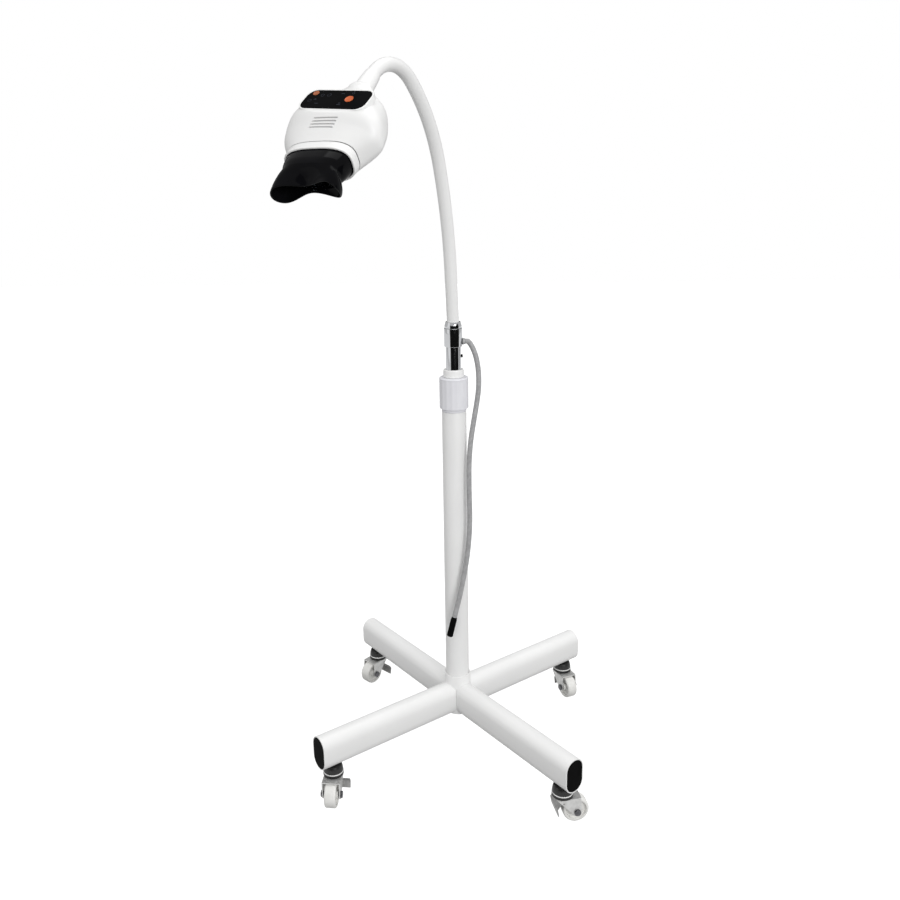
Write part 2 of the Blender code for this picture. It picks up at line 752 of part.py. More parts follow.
def castor_fork():
    """A bent sheet fork: a top plate and two legs with holes for the axle and the brake's pin."""
    half = FORK_WIDTH / 2 - FORK_SHEET / 2
    plate_outline = rounded_box((FORK_FRONT + FORK_BACK) / 2, half, FORK_SHEET, 3)
    middle = (FORK_FRONT - FORK_BACK) / 2
    plate_outline = [(x + middle, y) for x, y in plate_outline]
    hole = circle(KINGPIN_RADIUS + GAP, SMALL)
    fork = extruded("fork", (plate_outline, hole), FORK_PLATE, STEEL)
    moved(fork, shift(0, 0, FORK_PLATE_FOOT + FORK_PLATE / 2))
    leg_top = FORK_PLATE_FOOT + FORK_PLATE / 2
    back = (-FORK_BACK + FORK_SHEET / 2, FORK_PLATE_FOOT)
    waist = (-LEG_BACK, FORK_PLATE_FOOT - LEG_SHOULDER)
    front = (FORK_FRONT - FORK_SHEET / 2, FORK_PLATE_FOOT)
    axle = (WHEEL_TRAIL, WHEEL_RADIUS)
    boss_start = tangent_angle(waist, axle, AXLE_BOSS, 1)
    boss_end = tangent_angle(front, axle, AXLE_BOSS, -1) + 2 * math.pi
    outline = [(back[0], leg_top), back, waist]
    outline += arc(AXLE_BOSS, boss_start, boss_end, 8, axle)
    outline += [front, (front[0], leg_top)]
    axle_hole = circle(AXLE_RADIUS + GAP, SMALL, axle)
    pin_hole = circle(BRAKE_PIN + GAP, 8, (-BRAKE_BACK, BRAKE_HEIGHT))
    for side in (-1, 1):
        leg = extruded("leg", (outline, axle_hole, pin_hole), FORK_SHEET, STEEL)
        joined(fork, moved(leg, turn(QUARTER, "X"), shift(0, side * half, 0)))
    return fork


def castor_wheel():
    """A nylon wheel with a crowned tread, a thinner web and a wide hub, turning about local Z."""
    tread = WHEEL_WIDTH / 2
    round_off = WHEEL_WIDTH / 6
    inner = WHEEL_RADIUS - WHEEL_RIM
    bore = AXLE_RADIUS + GAP
    upper = [
        (bore, WHEEL_HUB_WIDTH / 2),
        (WHEEL_HUB_RADIUS - EDGE, WHEEL_HUB_WIDTH / 2),
        (WHEEL_HUB_RADIUS, WHEEL_WEB / 2),
        (inner, WHEEL_WEB / 2),
        (inner + EDGE, tread),
        (WHEEL_RADIUS - round_off, tread),
        (WHEEL_RADIUS, tread - round_off),
    ]
    lower = [(radius, -height) for radius, height in reversed(upper)]
    return turned("wheel", upper + lower, 20, WHEEL_NYLON, closed=True)


def castor_axle():
    """The axle bolt, with its head outside one leg and its nut outside the other."""
    inside = FORK_WIDTH / 2 + GAP
    outside = inside + AXLE_HEAD
    profile = (
        (0, outside),
        (AXLE_HEAD_RADIUS - EDGE, outside),
        (AXLE_HEAD_RADIUS, outside - EDGE),
        (AXLE_HEAD_RADIUS, inside),
        (AXLE_RADIUS, inside),
        (AXLE_RADIUS, -inside),
        (AXLE_HEAD_RADIUS, -inside),
        (AXLE_HEAD_RADIUS, -outside),
        (0, -outside),
    )
    return turned("axle", profile, SMALL, STEEL)


def castor_brake():
    """A bent plate on its pin, behind the wheel, with a tab that stands out past one leg."""
    knee = Vector((-KNEE_BACK, -KNEE_DROP))
    toe = knee + Vector((TOE_FORWARD, -TOE_DROP))
    upper, lower = knee.normalized(), (toe - knee).normalized()
    half = BRAKE_SHEET / 2
    upper_side, lower_side = upper.orthogonal() * half, lower.orthogonal() * half
    bend = (upper_side + lower_side) / 2
    start = math.atan2(upper.y, upper.x)
    lean = math.asin(half / BRAKE_BOSS)
    outline = [toe - lower_side, knee - bend]
    outline += arc(BRAKE_BOSS, start - lean, start - 2 * math.pi + lean, 8)
    outline += [knee + bend, toe + lower_side]
    width = BRAKE_INSIDE + BRAKE_OUTSIDE
    lever = extruded("lever", ([tuple(point) for point in outline],), width, STEEL)
    moved(lever, turn(QUARTER, "X"), shift(0, BRAKE_OUTSIDE - width / 2, 0))
    corner = box("corner", (-KNEE_BACK, BRAKE_INSIDE, -TAB_DROP), (KNEE_BACK, 2 * BRAKE_OUTSIDE, KNEE_DROP))
    pin = rod("pin", BRAKE_PIN, -FORK_WIDTH / 2, FORK_WIDTH / 2, 8)
    return joined(cut(lever, corner), moved(pin, turn(QUARTER, "X")))


castor_headings = [math.radians(heading) for heading in (-87, 18, -58, -124)]
named_castors = [f"castor_{corner}" for corner in corners]
tops = copies(castor_top(), [f"{name}_top" for name in named_castors])
forks = copies(castor_fork(), [f"{name}_fork" for name in named_castors])
wheels = copies(castor_wheel(), [f"{name}_wheel" for name in named_castors])
axles = copies(castor_axle(), [f"{name}_axle" for name in named_castors])
brakes = copies(castor_brake(), [f"{name}_brake" for name in named_castors])
for i, name in enumerate(named_castors):
    reach = Vector((CASTOR_REACH, 0, 0))
    place = Matrix.Translation(turn(arm_angles[i], "Z") @ reach)
    carried(axis_at(f"{name}_place", place, base), tops[i])
    swivel = axis_at(f"{name}_swivel_axis", place @ turn(castor_headings[i], "Z"), base)
    carried(swivel, forks[i])
    wheel_axis = shift(WHEEL_TRAIL, 0, WHEEL_RADIUS) @ turn(QUARTER, "X")
    carried(axis_at(f"{name}_wheel_axis", wheel_axis, swivel), wheels[i], axles[i])
    brake_axis = shift(-BRAKE_BACK, 0, BRAKE_HEIGHT)
    carried(axis_at(f"{name}_brake_axis", brake_axis, swivel), brakes[i])


# The mast: a chrome tube with a guide at its foot, a sleeve and a nut at its top


def mast_tube():
    profile = (
        (MAST_RADIUS, MAST_TOP),
        (MAST_RADIUS, MAST_FOOT),
        (MAST_BORE, MAST_FOOT),
        (MAST_BORE, MAST_TOP),
    )
    mast = turned("mast_tube", profile, FINE, CHROME, closed=True)
    hole = rod("stop_hole", STOP_SHANK + GAP, MAST_BORE - OVERRUN, MAST_RADIUS + OVERRUN, 8)
    return cut(mast, moved(hole, turn(QUARTER, "Y"), shift(0, 0, STOP_HEIGHT), turn(SIDE_HEADING, "Z")))


def mast_guide():
    """A plastic shoe on the mast's foot that runs in the column."""
    guide_radius = COLUMN_BORE - GAP
    cup_floor = MAST_FOOT - GAP
    profile = (
        (0, cup_floor),
        (MAST_RADIUS + GAP, cup_floor),
        (MAST_RADIUS + GAP, cup_floor + GUIDE_HEIGHT),
        (guide_radius - EDGE, cup_floor + GUIDE_HEIGHT),
        (guide_radius, cup_floor + GUIDE_HEIGHT - EDGE),
        (guide_radius, cup_floor - GUIDE_FLOOR),
        (0, cup_floor - GUIDE_FLOOR),
    )
    return turned("mast_guide", profile, FINE, BLACK_PLASTIC)


def mast_sleeve():
    """The chrome sleeve over the mast's top, bored smaller above it for the neck."""
    wide, narrow = MAST_RADIUS + GAP, NECK_BORE
    profile = (
        (SLEEVE_RADIUS - EDGE, SLEEVE_TOP),
        (SLEEVE_RADIUS, SLEEVE_TOP - EDGE),
        (SLEEVE_RADIUS, SLEEVE_FOOT + EDGE),
        (SLEEVE_RADIUS - EDGE, SLEEVE_FOOT),
        (wide, SLEEVE_FOOT),
        (wide, MAST_TOP + GAP),
        (narrow, MAST_TOP + GAP),
        (narrow, SLEEVE_TOP),
    )
    sleeve = turned("mast_sleeve", profile, FINE, CHROME, closed=True)
    spigot = GROMMET_SPIGOT + GAP
    hole = rod("hose_hole", spigot, MAST_RADIUS - OVERRUN / 2, SLEEVE_RADIUS + OVERRUN)
    moved(hole, turn(QUARTER, "Y"), shift(0, 0, HOSE_HEIGHT), turn(SIDE_HEADING, "Z"))
    return cut(sleeve, hole)


def neck_nut():
    """The chamfered ring that closes the sleeve round the neck."""
    foot = SLEEVE_TOP + GAP
    top = foot + NUT_HEIGHT
    profile = (
        (NUT_TOP_RADIUS, top),
        (SLEEVE_RADIUS - EDGE, foot + NUT_CHAMFER),
        (SLEEVE_RADIUS - EDGE, foot),
        (NECK_BORE, foot),
        (NECK_BORE, top),
    )
    return turned("neck_nut", profile, FINE, CHROME, closed=True)


def stop_screw():
    """The small black screw that stops the mast on the bush at its lowest."""
    face = MAST_RADIUS + GAP
    profile = (
        (0, face + STOP_HEAD),
        (STOP_RADIUS - EDGE, face + STOP_HEAD),
        (STOP_RADIUS, face + STOP_HEAD - EDGE),
        (STOP_RADIUS, face),
        (STOP_SHANK, face),
        (STOP_SHANK, MAST_BORE),
        (0, MAST_BORE),
    )
    screw = turned("stop_screw", profile, SMALL, BLACK_PLASTIC)
    return moved(screw, turn(QUARTER, "Y"), shift(0, 0, STOP_HEIGHT), turn(SIDE_HEADING, "Z"))


def hose_grommet():
    """The grommet that the hose leaves the sleeve through, with a spigot in the sleeve's wall."""
    face = SLEEVE_RADIUS + GAP
    profile = (
        (0, face + GROMMET_LENGTH),
        (GROMMET_RADIUS - EDGE, face + GROMMET_LENGTH),
        (GROMMET_RADIUS, face),
        (GROMMET_SPIGOT, face),
        (GROMMET_SPIGOT, MAST_RADIUS + 2 * GAP),
        (0, MAST_RADIUS + 2 * GAP),
    )
    grommet = turned("hose_grommet", profile, SMALL, GREY_PLASTIC)
    return moved(grommet, turn(QUARTER, "Y"), shift(0, 0, HOSE_HEIGHT), turn(SIDE_HEADING, "Z"))


hose_places = [Vector(place) + UP * HOSE_HEIGHT for place in hose_route]


def hose():
    """The grey hose: out of the grommet, round and down beside the column to its connector."""
    out = Vector((math.cos(SIDE_HEADING), math.sin(SIDE_HEADING), 0))
    start = SLEEVE_RADIUS + GROMMET_LENGTH + 2 * GAP
    exits = [out * start + UP * HOSE_HEIGHT, out * (start + HOSE_RADIUS) + UP * HOSE_HEIGHT]
    return tube("hose", smooth_route([*exits, *hose_places], HOSE_STEP), HOSE_RADIUS, 3, GREY_HOSE)


def hose_plug():
    """The black connector on the hose's end, in line with its last stretch."""
    profile = (
        (0, PLUG_LENGTH),
        (HOSE_RADIUS, PLUG_LENGTH),
        (PLUG_RADIUS, PLUG_LENGTH - PLUG_RADIUS),
        (PLUG_RADIUS, EDGE),
        (PLUG_RADIUS - EDGE, 0),
        (0, 0),
    )
    plug = turned("hose_plug", profile, SMALL, BLACK_PLASTIC)
    last, before = hose_places[-1], hose_places[-2]
    way = (last - before).normalized()
    aim = UP.rotation_difference(-way).to_matrix().to_4x4()
    return moved(plug, aim, Matrix.Translation(last + way * (PLUG_LENGTH + GAP)))


mast_axis = axis_at("mast_axis", Matrix(), base)
carried(mast_axis, mast_tube(), mast_guide(), mast_sleeve(), neck_nut(), stop_screw())
carried(mast_axis, hose_grommet(), hose(), hose_plug())


# The neck and its boot


def neck_route():
    """(forward, height) points of the neck's centre line up to the head, and on into it."""
    runs = (
        (NECK_LEAN_START - NECK_FOOT, 0, 1),
        (NECK_LEAN_RADIUS * NECK_LEAN, NECK_LEAN, 1),
        (NECK_STRAIGHT, 0, 1),
        (LOW_BEND_RADIUS * LOW_BEND, LOW_BEND, 4),
        (MIDDLE_BEND_RADIUS * MIDDLE_BEND, MIDDLE_BEND, 5),
        (TOP_BEND_RADIUS * TOP_BEND, TOP_BEND, 11),
        (NECK_END, 0, 1),
    )
    angle, here = 0.0, np.array([0.0, NECK_FOOT])
    points = [here]
    for length, bend, steps in runs:
        part = bend / steps
        chord = length / steps * (math.sin(part / 2) / (part / 2) if bend else 1)
        for _ in range(steps):
            way = angle + part / 2
            here = here + chord * np.array([math.sin(way), math.cos(way)])
            points.append(here)
            angle += part
    return points


neck_points = neck_route()
neck_forward = Vector((math.cos(NECK_HEADING), math.sin(NECK_HEADING), 0))
head_place = neck_forward * neck_points[-1][0] + UP * neck_points[-1][1]


def head_matrix():
    """The head's frame: x across, y out of the crown, z the way the light leaves."""
    light = neck_forward * math.cos(HEAD_PITCH) - UP * math.sin(HEAD_PITCH)
    crown = neck_forward * math.sin(HEAD_PITCH) + UP * math.cos(HEAD_PITCH)
    across = crown.cross(light)
    level = Matrix((across, crown, light)).transposed().to_4x4()
    return Matrix.Translation(head_place) @ level @ turn(HEAD_ROLL, "Z")


def neck_tube():
    """A bent tube, from inside the sleeve to inside the head."""
    points = [neck_forward * forward + UP * height for forward, height in neck_points]
    light = neck_forward * math.cos(HEAD_PITCH) - UP * math.sin(HEAD_PITCH)
    points.append(head_place + light * NECK_INSERT)
    guide = tube("neck_tube", points, NECK_RADIUS, 4, WHITE_PAINT, capped=False)
    mesh = shaded(evaluated_mesh(guide))
    bpy.data.objects.remove(guide)
    neck = new_piece("neck_tube", mesh, WHITE_PAINT)
    wall = neck.modifiers.new("wall", "SOLIDIFY")
    wall.thickness = NECK_WALL
    wall.offset = -1
    return neck


def neck_boot():
    """The tapered boot between the neck and the head, about the head's z axis."""
    front = -GAP
    profile = (
        (BOOT_FRONT_RADIUS, front),
        (BOOT_FRONT_RADIUS - EDGE, front - BOOT_LENGTH / 2),
        (BOOT_REAR_RADIUS, front - BOOT_LENGTH),
        (NECK_BORE, front - BOOT_LENGTH),
        (NECK_BORE, front),
    )
    return turned("neck_boot", profile, MEDIUM, WHITE_PLASTIC, closed=True)


neck_axis = axis_at("neck_axis", Matrix(), mast_axis)
carried(neck_axis, neck_tube())
boot_place = axis_at("boot_place", head_matrix(), neck_axis)
carried(boot_place, neck_boot())
head = axis_at("head_axis", head_matrix(), neck_axis)


# The head's shells, between the neck and the tilted mouth that the light leaves by

mouth_place = shift(0, FRONT_LEVEL, HEAD_LENGTH) @ turn(FRONT_TURN, "Y") @ turn(-FRONT_TILT, "X")


def panel_level(z):
    """Height of the control panel's plane above the head's axis, at a place along it."""
    return PANEL_LEVEL + (z - PANEL_PLACE) * math.tan(PANEL_LEAN)


def along_head(shares, size, last):
    """A size along the head: shares of it at the stations, and its own value at the head's mouth."""
    values = [share * size for share in shares]
    return smooth_between((*values, last), (*head_station_shares, 1.0), np.array(head_ring_shares))


def head_rings():
    """Superellipse sections along the head, flat under the panel, tilted towards the head's mouth."""
    mouth_height = BEZEL_HALF_HEIGHT * math.cos(FRONT_TILT)
    width = along_head(head_width_shares, HEAD_WIDTH / 2, BEZEL_HALF_WIDTH)
    crown = along_head(head_crown_shares, HEAD_CROWN, mouth_height + FRONT_LEVEL)
    belly = along_head(head_belly_shares, HEAD_DEPTH, mouth_height - FRONT_LEVEL)
    middle = along_head(head_middle_shares, HEAD_CROWN, FRONT_LEVEL)
    power = along_head(head_square_shares, 1, FRONT_SQUARE)
    rings = []
    for i, share in enumerate(head_ring_shares):
        place = share * HEAD_LENGTH
        x, y = superellipse(width[i], 1, power[i], HEAD_AROUND)
        rise, fall = crown[i] - middle[i], belly[i] + middle[i]
        y = middle[i] + np.where(y > 0, y * rise, y * fall)
        y = np.minimum(y, panel_level(place))
        tilted = np.clip((share - TILT_START_SHARE) / (1 - TILT_START_SHARE), 0, 1)
        lean = math.tan(FRONT_TILT) * (y - middle[i]) + math.tan(FRONT_TURN) * x
        rings.append(at_level(x, y, place - tilted**2 * (3 - 2 * tilted) * lean))
    x, y = superellipse(HEAD_HOLE, HEAD_HOLE, 2, HEAD_AROUND)
    rings[0] = at_level(x, y, 0)
    x, y = superellipse(BEZEL_HALF_WIDTH, BEZEL_HALF_HEIGHT, FRONT_SQUARE, HEAD_AROUND)
    rings[-1] = [mouth_place @ Vector(point) for point in at_level(x, y, 0)]
    return rings


def head_shell(name):
    shell = lofted(name, head_rings(), WHITE_PLASTIC)
    wall = shell.modifiers.new("wall", "SOLIDIFY")
    wall.thickness = HEAD_WALL
    wall.offset = -1
    wall.use_even_offset = True
    low, high = (-HEAD_WIDTH, -HEAD_WIDTH, -GAP), (HEAD_WIDTH, HEAD_WIDTH, HEAD_LENGTH)
    return cut(shell, moved(box("beyond_mouth", low, high), mouth_place))


def half_space(name, low, high):
    """A box as wide and long as the head, between two heights."""
    return box(name, (-HEAD_WIDTH, low, -HEAD_LENGTH), (HEAD_WIDTH, high, 2 * HEAD_LENGTH))


def panel_frame():
    """From the panel's own frame, z out of its face and y towards the neck, to the head's."""
    return shift(0, PANEL_LEVEL, PANEL_PLACE) @ turn(-(QUARTER + PANEL_LEAN), "X")


def panel_outline(inset):
    return rounded_box(PANEL_WIDTH / 2 - inset, PANEL_LENGTH / 2 - inset, PANEL_CORNER - inset, 5)


def vents():
    """The cooling slots' cutters, square to the crown where it starts to fall."""
    slots = []
    low, high = (-VENT_WIDTH / 2, 0, -VENT_SLOT / 2), (VENT_WIDTH / 2, HEAD_CROWN + VENT_DEPTH, VENT_SLOT / 2)
    for i in range(VENT_COUNT):
        aside, along = ((VENT_COUNT - 1) / 2 - i) * VENT_STAGGER, VENT_PLACE + i * VENT_PITCH
        slots.append(moved(box("vent", low, high), turn(VENT_TURN, "Y"), shift(aside, 0, along)))
    return slots


def head_shell_top():
    """The upper shell, with a rim that the panel sits in and the vents in front of it."""
    shell = head_shell("head_shell_top")
    below = half_space("below_parting", -2 * HEAD_DEPTH, -PARTING_DROP + GAP / 2)
    window = extruded("panel_window", (panel_outline(-RIM_WIDTH / 2),), 2 * RIM_DEPTH, WHITE_PLASTIC)
    outlines = (panel_outline(-RIM_WIDTH), panel_outline(0))
    rim = extruded("panel_rim", outlines, RIM_DEPTH, WHITE_PLASTIC)
    moved(rim, panel_frame() @ shift(0, 0, PANEL_PROUD - RIM_DEPTH / 2))
    joined(cut(shell, below, moved(window, panel_frame())), rim)
    cut(shell, *vents())
    for boolean in shell.modifiers:
        if boolean.name.startswith("vent"):
            boolean.solver = "MANIFOLD"
    return shell


def head_shell_bottom():
    shell = head_shell("head_shell_bottom")
    return cut(shell, half_space("above_parting", -PARTING_DROP - GAP / 2, 2 * HEAD_CROWN))


def head_bush():
    """The clamp ring on the neck's end, behind the shell's rear wall."""
    high = HEAD_BUSH_START + HEAD_BUSH_LENGTH
    profile = (
        (HEAD_BUSH_RADIUS, high),
        (HEAD_BUSH_RADIUS, HEAD_BUSH_START),
        (NECK_BORE, HEAD_BUSH_START),
        (NECK_BORE, high),
    )
    return turned("head_bush", profile, MEDIUM, STEEL, closed=True)


# The control panel, its buttons and its board, in the panel's own frame


def control_panel():
    panel = extruded("control_panel", (panel_outline(GAP),), PANEL_THICKNESS, BLACK_GLOSS)
    moved(panel, shift(0, 0, PANEL_PROUD - PANEL_THICKNESS / 2))
    for radius, (x, y) in ((POWER_RADIUS, POWER_PLACE), (START_RADIUS, START_PLACE)):
        hole = rod("button_hole", radius + GAP, -PANEL_THICKNESS - OVERRUN, PANEL_PROUD + OVERRUN, MEDIUM)
        cut(panel, moved(hole, shift(x, y)))
    face = PANEL_PROUD - PANEL_THICKNESS
    for side in (-1, 1):
        post = rod("post", POST_RADIUS, face - BOARD_DROP + GAP, face + PANEL_THICKNESS / 2)
        joined(panel, moved(post, shift(side * BOARD_WIDTH / 3, -BOARD_LENGTH / 3)))
    return moved(panel, panel_frame())


def control_board():
    outline = rounded_box(BOARD_WIDTH / 2, BOARD_LENGTH / 2, POST_RADIUS, 3)
    board = extruded("control_board", (outline,), BOARD_THICKNESS, BOARD_GREEN)
    face = PANEL_PROUD - PANEL_THICKNESS - BOARD_DROP
    return moved(board, shift(0, 0, face - BOARD_THICKNESS / 2), panel_frame())


def button(name, radius):
    """A round cap with a flange under the panel that keeps it in."""
    flange_top = PANEL_PROUD - PANEL_THICKNESS - GAP
    crown = PANEL_PROUD + BUTTON_PROUD
    profile = (
        (0, crown),
        (radius - EDGE, crown),
        (radius, crown - EDGE / 2),
        (radius, flange_top),
        (radius + EDGE, flange_top),
        (radius + EDGE, flange_top - BUTTON_FLANGE),
        (0, flange_top - BUTTON_FLANGE),
    )
    return turned(name, profile, MEDIUM, ORANGE)


for name, radius, place in (
    ("power_button", POWER_RADIUS, POWER_PLACE),
    ("start_button", START_RADIUS, START_PLACE),
):
    button_axis = axis_at(f"{name}_axis", panel_frame() @ shift(*place), head)
    carried(button_axis, button(name, radius))

carried(head, head_shell_top(), head_shell_bottom(), head_bush(), control_panel(), control_board())


# The front bezel and the light engine, in the frame of the head's mouth


def front_ring(half_width, half_height, z):
    x, y = superellipse(half_width, half_height, FRONT_SQUARE, MOUTH_AROUND)
    return at_level(x, y, z)


def front_outline(half_width, half_height):
    x, y = superellipse(half_width, half_height, FRONT_SQUARE, MOUTH_AROUND)
    return list(zip(x, y))


def front_bezel():
    """The white ring at the head's mouth, with a flange that holds the window and the mouthpiece."""
    width, height = BEZEL_HALF_WIDTH, BEZEL_HALF_HEIGHT
    inner_width, inner_height = SKIRT_HALF_WIDTH + GAP, SKIRT_HALF_HEIGHT + GAP
    sections = (
        (width, height, BEZEL_REAR),
        (width - BEZEL_TAPER / 2, height - BEZEL_TAPER / 2, (BEZEL_REAR + BEZEL_FRONT) / 2),
        (width - BEZEL_TAPER, height - BEZEL_TAPER, BEZEL_FRONT - EDGE),
        (width - BEZEL_TAPER - EDGE, height - BEZEL_TAPER - EDGE, BEZEL_FRONT),
        (inner_width, inner_height, BEZEL_FRONT),
        (inner_width, inner_height, BEZEL_REAR + BEZEL_FLANGE),
        (inner_width - FLANGE_INSET, inner_height - FLANGE_INSET, BEZEL_REAR + BEZEL_FLANGE),
        (inner_width - FLANGE_INSET, inner_height - FLANGE_INSET, BEZEL_REAR),
    )
    rings = [front_ring(*section) for section in sections]
    return lofted("front_bezel", rings, WHITE_PLASTIC, closed=True)


def light_window():
    outline = front_outline(SKIRT_HALF_WIDTH - WINDOW_INSET, SKIRT_HALF_HEIGHT - WINDOW_INSET)
    window = extruded("light_window", (outline,), WINDOW_THICKNESS, CLEAR)
    return moved(window, shift(0, 0, WINDOW_FRONT - WINDOW_THICKNESS / 2))


def reflector():
    """The white light box between the board of emitters and the window."""
    width, height = SKIRT_HALF_WIDTH - WINDOW_INSET, SKIRT_HALF_HEIGHT - WINDOW_INSET
    outlines = (
        front_outline(width, height),
        front_outline(width - REFLECTOR_WALL, height - REFLECTOR_WALL),
    )
    frame = extruded("light_reflector", outlines, REFLECTOR_DEPTH, BOARD_WHITE)
    return moved(frame, shift(0, 0, REFLECTOR_REAR + REFLECTOR_DEPTH / 2))


def led_board():
    """The board with two rows of square emitters."""
    outline = front_outline(SKIRT_HALF_WIDTH - WINDOW_INSET, SKIRT_HALF_HEIGHT - WINDOW_INSET)
    board = extruded("led_board", (outline,), LED_BOARD_THICKNESS, BOARD_WHITE)
    moved(board, shift(0, 0, LED_FRONT - LED_BOARD_THICKNESS / 2))
    for column_place in (-1.5, -0.5, 0.5, 1.5):
        for row in (-1, 1):
            x, y = column_place * LED_PITCH, row * LED_ROW
            low = (x - LED_SIZE / 2, y - LED_SIZE / 2, LED_FRONT - LED_BOARD_THICKNESS / 2)
            high = (x + LED_SIZE / 2, y + LED_SIZE / 2, LED_FRONT + LED_HEIGHT)
            joined(board, box("emitter", low, high))
    return board


def heat_sink():
    """A base plate with fins that stand back towards the fan."""
    front, base_rear = SINK_FRONT, SINK_FRONT - SINK_BASE
    outline = [(SINK_HALF_WIDTH, front), (-SINK_HALF_WIDTH, front)]
    pitch = (2 * SINK_HALF_WIDTH - SINK_FIN_THICKNESS) / (SINK_FINS - 1)
    for i in range(SINK_FINS):
        left = -SINK_HALF_WIDTH + i * pitch
        right = left + SINK_FIN_THICKNESS
        tip = base_rear - SINK_FIN
        fin = [(left, base_rear), (left, tip), (right, tip), (right, base_rear)]
        outline += fin[1:] if i == 0 else fin[:-1] if i == SINK_FINS - 1 else fin
    sink = extruded("heat_sink", (outline,), 2 * SINK_HALF_HEIGHT, ALUMINIUM)
    return moved(sink, turn(QUARTER, "X"), shift(0, ENGINE_RISE, 0))


def fan_frame():
    """A square fan housing with a cross at its rear that carries the rotor's shaft."""
    half = FAN_SIZE / 2
    frame = extruded("fan_frame", (rounded_box(half, half, LED_HEIGHT, 3), circle(FAN_BORE, MEDIUM)),
                     FAN_DEPTH, BLACK_PLASTIC)
    moved(frame, shift(0, 0, FAN_REAR + FAN_DEPTH / 2))
    arm_half, reach = SPIDER_ARM / 2, FAN_BORE + EDGE
    cross = []
    for quarter in range(4):
        spoke = ((arm_half, -reach), (arm_half, -arm_half))
        aim = turn(quarter * QUARTER, "Z")
        cross += [tuple((aim @ Vector((x, y, 0)))[:2]) for x, y in ((-arm_half, -reach), *spoke)]
    spider = extruded("spider", (cross, circle(FAN_SHAFT + GAP, 8)), SPIDER, BLACK_PLASTIC)
    return joined(frame, moved(spider, shift(0, 0, FAN_REAR + EDGE + SPIDER / 2)))


def fan_rotor():
    """A hub with a shaft and twisted blades, about the fan's axis."""
    hub_rear = FAN_REAR + EDGE + SPIDER + GAP
    hub_front = FAN_FRONT - EDGE
    profile = (
        (0, hub_front),
        (FAN_HUB - EDGE, hub_front),
        (FAN_HUB, hub_front - EDGE),
        (FAN_HUB, hub_rear),
        (FAN_SHAFT, hub_rear),
        (FAN_SHAFT, FAN_REAR + EDGE),
        (0, FAN_REAR + EDGE),
    )
    rotor = turned("fan_rotor", profile, MEDIUM, BLACK_PLASTIC)
    height = (hub_front + hub_rear) / 2
    for i in range(BLADE_COUNT):
        half = (BLADE_CHORD / 2, BLADE_SHEET / 2)
        blade = box("blade", (FAN_HUB - 2 * EDGE, -half[0], -half[1]), (BLADE_REACH, *half))
        aim = turn(2 * math.pi * i / BLADE_COUNT, "Z")
        joined(rotor, moved(blade, turn(BLADE_TWIST, "X"), aim, shift(0, 0, height)))
    return rotor


front = axis_at("mouth_place", mouth_place, head)
fan_axis = axis_at("fan_axis", mouth_place @ shift(0, ENGINE_RISE, 0), head)
carried(front, front_bezel(), light_window(), reflector(), led_board(), heat_sink())
carried(fan_axis, fan_frame(), fan_rotor())


# The mouthpiece


def lip_outline():
    """A bow-tie: two round lobes, pinched between them."""
    angle = np.arange(MOUTH_AROUND) * 2 * math.pi / MOUTH_AROUND
    x = (LOBE_PLACE + LOBE_RADIUS) * np.cos(angle)
    past = np.clip(np.abs(x) - LOBE_PLACE, 0, LOBE_RADIUS)
    inward = np.clip(np.abs(x) / LOBE_PLACE, 0, 1)
    rise = inward**2 * (3 - 2 * inward)
    height = LOBE_HEIGHT * np.sqrt(np.maximum(1 - (past / LOBE_RADIUS) ** 2, 0))
    height = np.where(past > 0, height, MOUTH_PINCH + (LOBE_HEIGHT - MOUTH_PINCH) * rise)
    return x, height * np.sign(np.round(np.sin(angle), 6))


def mouthpiece():
    """A skirt in the bezel that narrows to a waist, then a lip that wraps round the mouth."""
    lip_x, lip_y = lip_outline()
    skirt_x, skirt_y = superellipse(SKIRT_HALF_WIDTH, SKIRT_HALF_HEIGHT, FRONT_SQUARE, MOUTH_AROUND)
    rings = []
    skirt_rows = mouth_blend_shares.index(mouth_blend_shares[4])
    for i, blend in enumerate(mouth_blend_shares):
        if i < skirt_rows:
            z = MOUTH_ROOT + (MOUTH_WAIST - MOUTH_ROOT) * mouth_place_shares[i]
        else:
            z = MOUTH_WAIST + (MOUTH_RIM - MOUTH_WAIST) * mouth_place_shares[i]
        narrow = 1 - mouth_narrow_shares[i]
        x = narrow * ((1 - blend) * skirt_x + blend * lip_x)
        y = narrow * ((1 - blend) * skirt_y + blend * lip_y)
        wrap = MOUTH_WRAP * np.abs(x / (LOBE_PLACE + LOBE_RADIUS)) ** MOUTH_WRAP_POWER
        rings.append(at_level(x, y - blend * MOUTH_DROP, z + blend * (wrap + MOUTH_TILT * y - MOUTH_TURN * x)))
    piece = lofted("mouthpiece", rings, BLACK_GLOSS)
    wall = piece.modifiers.new("wall", "SOLIDIFY")
    wall.thickness = MOUTH_WALL
    wall.offset = -1
    return piece


carried(front, mouthpiece())


# The origin, on the floor under the middle of the lamp


def centre_over_origin(free_pieces):
    """Shifts the whole lamp so that its box, without the hose's free pieces, is centred on Z."""
    bpy.context.view_layer.update()
    graph = bpy.context.evaluated_depsgraph_get()
    low, high = np.full(3, np.inf), np.full(3, -np.inf)
    for piece in lamp.objects:
        if piece.type == "EMPTY" or piece.name in free_pieces:
            continue
        shape = piece.evaluated_get(graph)
        mesh = shape.to_mesh()
        points = np.array([shape.matrix_world @ vertex.co for vertex in mesh.vertices])
        low, high = np.minimum(low, points.min(axis=0)), np.maximum(high, points.max(axis=0))
        shape.to_mesh_clear()
    middle = (low + high) / 2
    base.location = (-middle[0], -middle[1], -low[2])
    print("column axis at", [round(float(value), 5) for value in base.location])


centre_over_origin(("hose", "hose_plug", "hose_grommet"))
